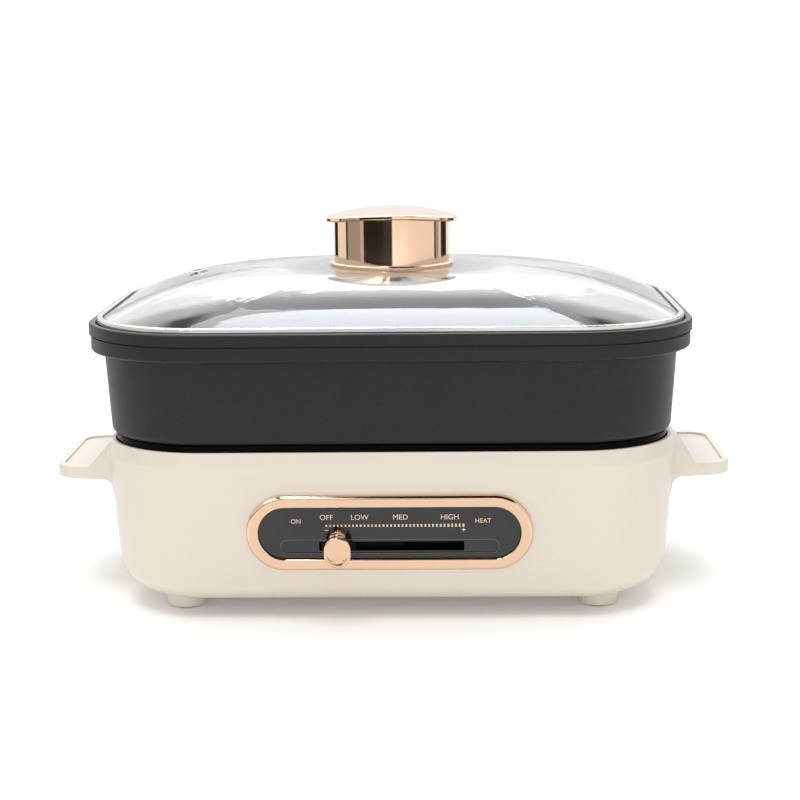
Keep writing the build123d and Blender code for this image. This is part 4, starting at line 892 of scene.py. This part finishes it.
@dataclass
class Studio:
    """Camera, floor and soft lights, with the ceiling and the cards that glass and metal mirror."""

    azimuth: float = math.radians(1.263)
    elevation: float = math.radians(10.224)
    roll: float = math.radians(0.59)
    distance: float = 1.1925
    aim: Triple = (0.00428, 0.0, 0.10996)
    focal_pixels: float = 1900.0
    floor_side: float = 40.0
    floor_colour: Colour = (0.92, 0.92, 0.92)
    floor_roughness: float = 0.7
    floor_glow: float = 0.28
    floor_share: float = 0.36
    floor_sides: Pair = (0.12, 0.18)
    floor_ends: Pair = (0.30, 0.38)
    fill: float = 0.4
    sun: float = 2.05
    sun_spread: float = math.radians(45.0)
    sun_travel: Triple = (0.04, 0.10, -1.0)
    front_place: Triple = (0.0, -2.2, 0.45)
    front_size: Pair = (2.4, 0.8)
    front_power: float = 9.5
    ceiling_place: Triple = (0.0, 1.2, 1.3)
    ceiling_size: Pair = (2.8, 7.6)
    window_middle: Pair = (0.01, -0.2)
    window_reach: Pair = (0.248, 0.500)
    window_power: float = 3.0
    window_edge: Pair = (0.96, 1.04)
    window_glow: Colour = (10.9, 11.4, 12.0)
    shade_front: Pair = (-0.16, -0.10)
    shade_left: Pair = (-0.155, -0.14)
    field_glow: float = 5.9
    field_start: float = 1.15
    field_fade: float = 1.15
    band_share: float = 0.52
    band_depth: Pair = (0.50, 0.80)
    band_bend: float = 0.22
    band_slope: float = 1.35
    hump_share: float = 0.18
    hump_start: Pair = (0.08, 0.22)
    hump_end: Pair = (0.50, 0.68)
    nook_start: Pair = (0.28, 0.42)
    nook_end: Pair = (0.54, 0.66)
    nook_depth: Pair = (0.0, 0.14)
    card_distance: float = 0.75
    card_middle: float = 0.1525
    card_height: float = 0.105
    cards: tuple[Card, ...] = (
        Card(-150.0, -130.0, 0.02), Card(-99.0, -93.5, 0.02), Card(-93.5, -61.0, 0.42),
        Card(-61.0, -54.5, 0.7), Card(-54.5, -14.0, 0.004), Card(-14.0, 3.0, 0.03),
        Card(94.0, 99.0, 0.03), Card(99.0, 109.0, 0.5), Card(115.0, 140.0, 0.03))

    def build(self) -> None:
        """Sets up the camera, the floor, the world, the lights and what is mirrored."""
        self.set_camera()
        self.lay_floor()
        self.light_world()
        self.hang_lights()
        self.hang_ceiling()
        self.stand_cards()
        bpy.context.scene.view_settings.view_transform = "Standard"

    def set_camera(self) -> None:
        """Places the camera at the photograph's viewing angle."""
        flat = math.cos(self.elevation)
        back = Vector((math.sin(self.azimuth) * flat, -math.cos(self.azimuth) * flat,
                       math.sin(self.elevation)))
        level = Vector((math.cos(self.azimuth), math.sin(self.azimuth), 0.0))
        upright = back.cross(level)
        right = level * math.cos(self.roll) - upright * math.sin(self.roll)
        upward = upright * math.cos(self.roll) + level * math.sin(self.roll)
        matrix = Matrix((right, upward, back)).transposed().to_4x4()
        matrix.translation = Vector(self.aim) + back * self.distance
        data = bpy.data.cameras.new("photo_camera")
        data.sensor_width = SENSOR_WIDTH
        data.lens = self.focal_pixels * SENSOR_WIDTH / IMAGE_SIDE
        camera = bpy.data.objects.new("photo_camera", data)
        camera.matrix_world = matrix
        bpy.context.scene.collection.objects.link(camera)
        bpy.context.scene.camera = camera

    def lay_floor(self) -> None:
        """Lays the pale floor, which keeps the object's shadow, lightened at both sides by a
        painted glow.
        """
        bpy.ops.object.select_all(action="DESELECT")
        bpy.ops.mesh.primitive_plane_add(size=self.floor_side)
        floor = bpy.context.object
        floor.name = "floor"
        floor.data.materials.append(painted("pale_floor", self.floor_paint))

    def floor_paint(self, graph: Graph) -> Signal:
        """Adds the floor's pale paint, with a faint even glow and a stronger painted glow at both
        sides of the object that lightens its shadow there.

        Args:
            graph: The floor material's tree.

        Returns:
            The shader.
        """
        across = abs(graph.apart()[0])
        # painted light: the floor glows brighter at both sides of the object, lightening its shadow
        # there
        painted_light_aside = across.ramp(*self.floor_sides) * (1.0 - across.ramp(*self.floor_ends))
        return graph.surface({
            "Base Color": (*self.floor_colour, 1.0),
            "Roughness": self.floor_roughness,
            "Specular IOR Level": 0.0,
            "Emission Color": graph.mix_colour(painted_light_aside, shade_of(WHITE, self.floor_share), WHITE),
            "Emission Strength": self.floor_glow,
        })

    def light_world(self) -> None:
        """Makes the world white where it is seen or mirrored, and a plain fill light elsewhere."""
        world = bpy.data.worlds.new("studio_world")
        bpy.context.scene.world = world
        world.use_nodes = True
        graph = Graph(world.node_tree)
        path = graph.node("ShaderNodeLightPath")
        seen = Signal(graph, path.outputs["Is Camera Ray"])
        for name in ("Is Glossy Ray", "Is Transmission Ray"):
            seen = seen + Signal(graph, path.outputs[name])
        strength = self.fill + (1.0 - self.fill) * seen.at_most(1.0)
        inputs = {"Color": (*WHITE, 1.0), "Strength": strength}
        sky = graph.signal("ShaderNodeBackground", inputs=inputs)
        graph.node("ShaderNodeOutputWorld", inputs={"Surface": sky})

    def hang_lights(self) -> None:
        """Hangs one very soft light overhead and stands a low one in front."""
        data = bpy.data.lights.new("sky_light", "SUN")
        data.energy = self.sun
        data.angle = self.sun_spread
        self.add_light(data, Vector(self.sun_travel).to_track_quat("-Z", "Y").to_matrix().to_4x4())
        data = bpy.data.lights.new("front_light", "AREA")
        data.shape = "RECTANGLE"
        data.size, data.size_y = self.front_size
        data.energy = self.front_power
        upright = Matrix.Rotation(math.pi / 2, 4, "X")
        self.add_light(data, Matrix.Translation(self.front_place) @ upright)

    @staticmethod
    def add_light(data: bpy.types.Light, place: Matrix) -> None:
        """Adds a light that mirrors don't show.

        Args:
            data: The light.
            place: Its place and direction.
        """
        light = bpy.data.objects.new(data.name, data)
        light.matrix_world = place
        light.visible_glossy = False
        bpy.context.scene.collection.objects.link(light)

    def hang_ceiling(self) -> None:
        """Hangs the ceiling that the glass lid mirrors."""
        place = Matrix.Translation(self.ceiling_place)
        self.sheet("ceiling", self.ceiling_size, place, self.ceiling_paint)

    def ceiling_paint(self, graph: Graph) -> Signal:
        """Adds the ceiling's light.

        A bright window is shaded along its front, except at the left. Behind it lies a grey band
        that bends back at both sides and has a dark nook in each, and then a field that fades away.

        Args:
            graph: The ceiling material's tree.

        Returns:
            The shader.
        """
        across, along = graph.apart()
        sideways = across + (self.ceiling_place[0] - self.window_middle[0])
        across = abs(sideways)
        along = along + self.ceiling_place[1]
        depth = abs(along - self.window_middle[1]) / self.window_reach[1]
        rounding = (across / self.window_reach[0]) ** self.window_power + depth ** self.window_power
        open_left = 1.0 - sideways.ramp(*self.shade_left)
        lit = along.ramp(*self.shade_front).at_least(open_left)
        window = lit * (1.0 - rounding.ramp(*self.window_edge))
        away = along.at_least(self.field_start) / self.field_start
        field = away ** -self.field_fade
        nook = across.ramp(*self.nook_start) * (1.0 - across.ramp(*self.nook_end))
        nook = nook * (1.0 - (along - across).ramp(*self.nook_depth))
        hump = across.ramp(*self.hump_start) - across.ramp(*self.hump_end)
        band = (self.band_share + self.hump_share * hump) * (1.0 - nook)
        bend = self.band_slope * (across - self.band_bend).at_least(0.0)
        level = lit * (band + (field - band) * (along - bend).ramp(*self.band_depth))
        pale = graph.glow(shade_of(WHITE, self.field_glow))
        ground = graph.signal("ShaderNodeMixShader", inputs={0: level, 2: pale})
        inputs = {0: window, 1: ground, 2: graph.glow(self.window_glow)}
        return graph.signal("ShaderNodeMixShader", inputs=inputs)

    def stand_cards(self) -> None:
        """Stands a ring of dark and bright cards that the polished knob mirrors."""
        outward = Matrix.Translation((0.0, -self.card_distance, self.card_middle))
        upright = Matrix.Rotation(math.pi / 2, 4, "X")
        for card in self.cards:
            turn = Matrix.Rotation(math.radians((card.start + card.end) / 2), 4, "Z")
            width = 2 * self.card_distance * math.tan(math.radians(card.end - card.start) / 2)
            self.sheet(f"card_{card.start:.0f}", (width, self.card_height),
                       turn @ outward @ upright, card.shade)

    def sheet(self, name: str, size: Pair, place: Matrix,
              shade: Callable[[Graph], Signal]) -> None:
        """Adds a flat sheet that shows only in mirrors.

        Args:
            name: The sheet's name.
            size: Its two sides.
            place: Its place and direction.
            shade: Adds the nodes of its light to a tree and returns the shader.
        """
        bpy.ops.object.select_all(action="DESELECT")
        bpy.ops.mesh.primitive_plane_add(size=1.0)
        sheet = bpy.context.object
        sheet.name = name
        bpy.ops.transform.resize(value=(*size, 1.0))
        bpy.ops.object.transform_apply(location=True, rotation=True, scale=True)
        sheet.matrix_world = place
        sheet.data.materials.append(painted(name, shade))
        for ray in ("camera", "diffuse", "shadow", "transmission", "volume_scatter"):
            setattr(sheet, "visible_" + ray, False)


def main() -> None:
    """Builds the studio and dresses each sub-assembly in turn."""
    logging.basicConfig(level=logging.INFO, format="%(name)s: %(message)s")
    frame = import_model()
    dresser = Dresser(frame["nodes"])
    for part in (Studio(), Base(dresser), HeaterDeck(dresser), ControlPanel(dresser), Pan(dresser),
                 Lid(dresser)):
        part.build()
        LOG.info("%s built", type(part).__name__)


if __name__ == "__main__":
    main()
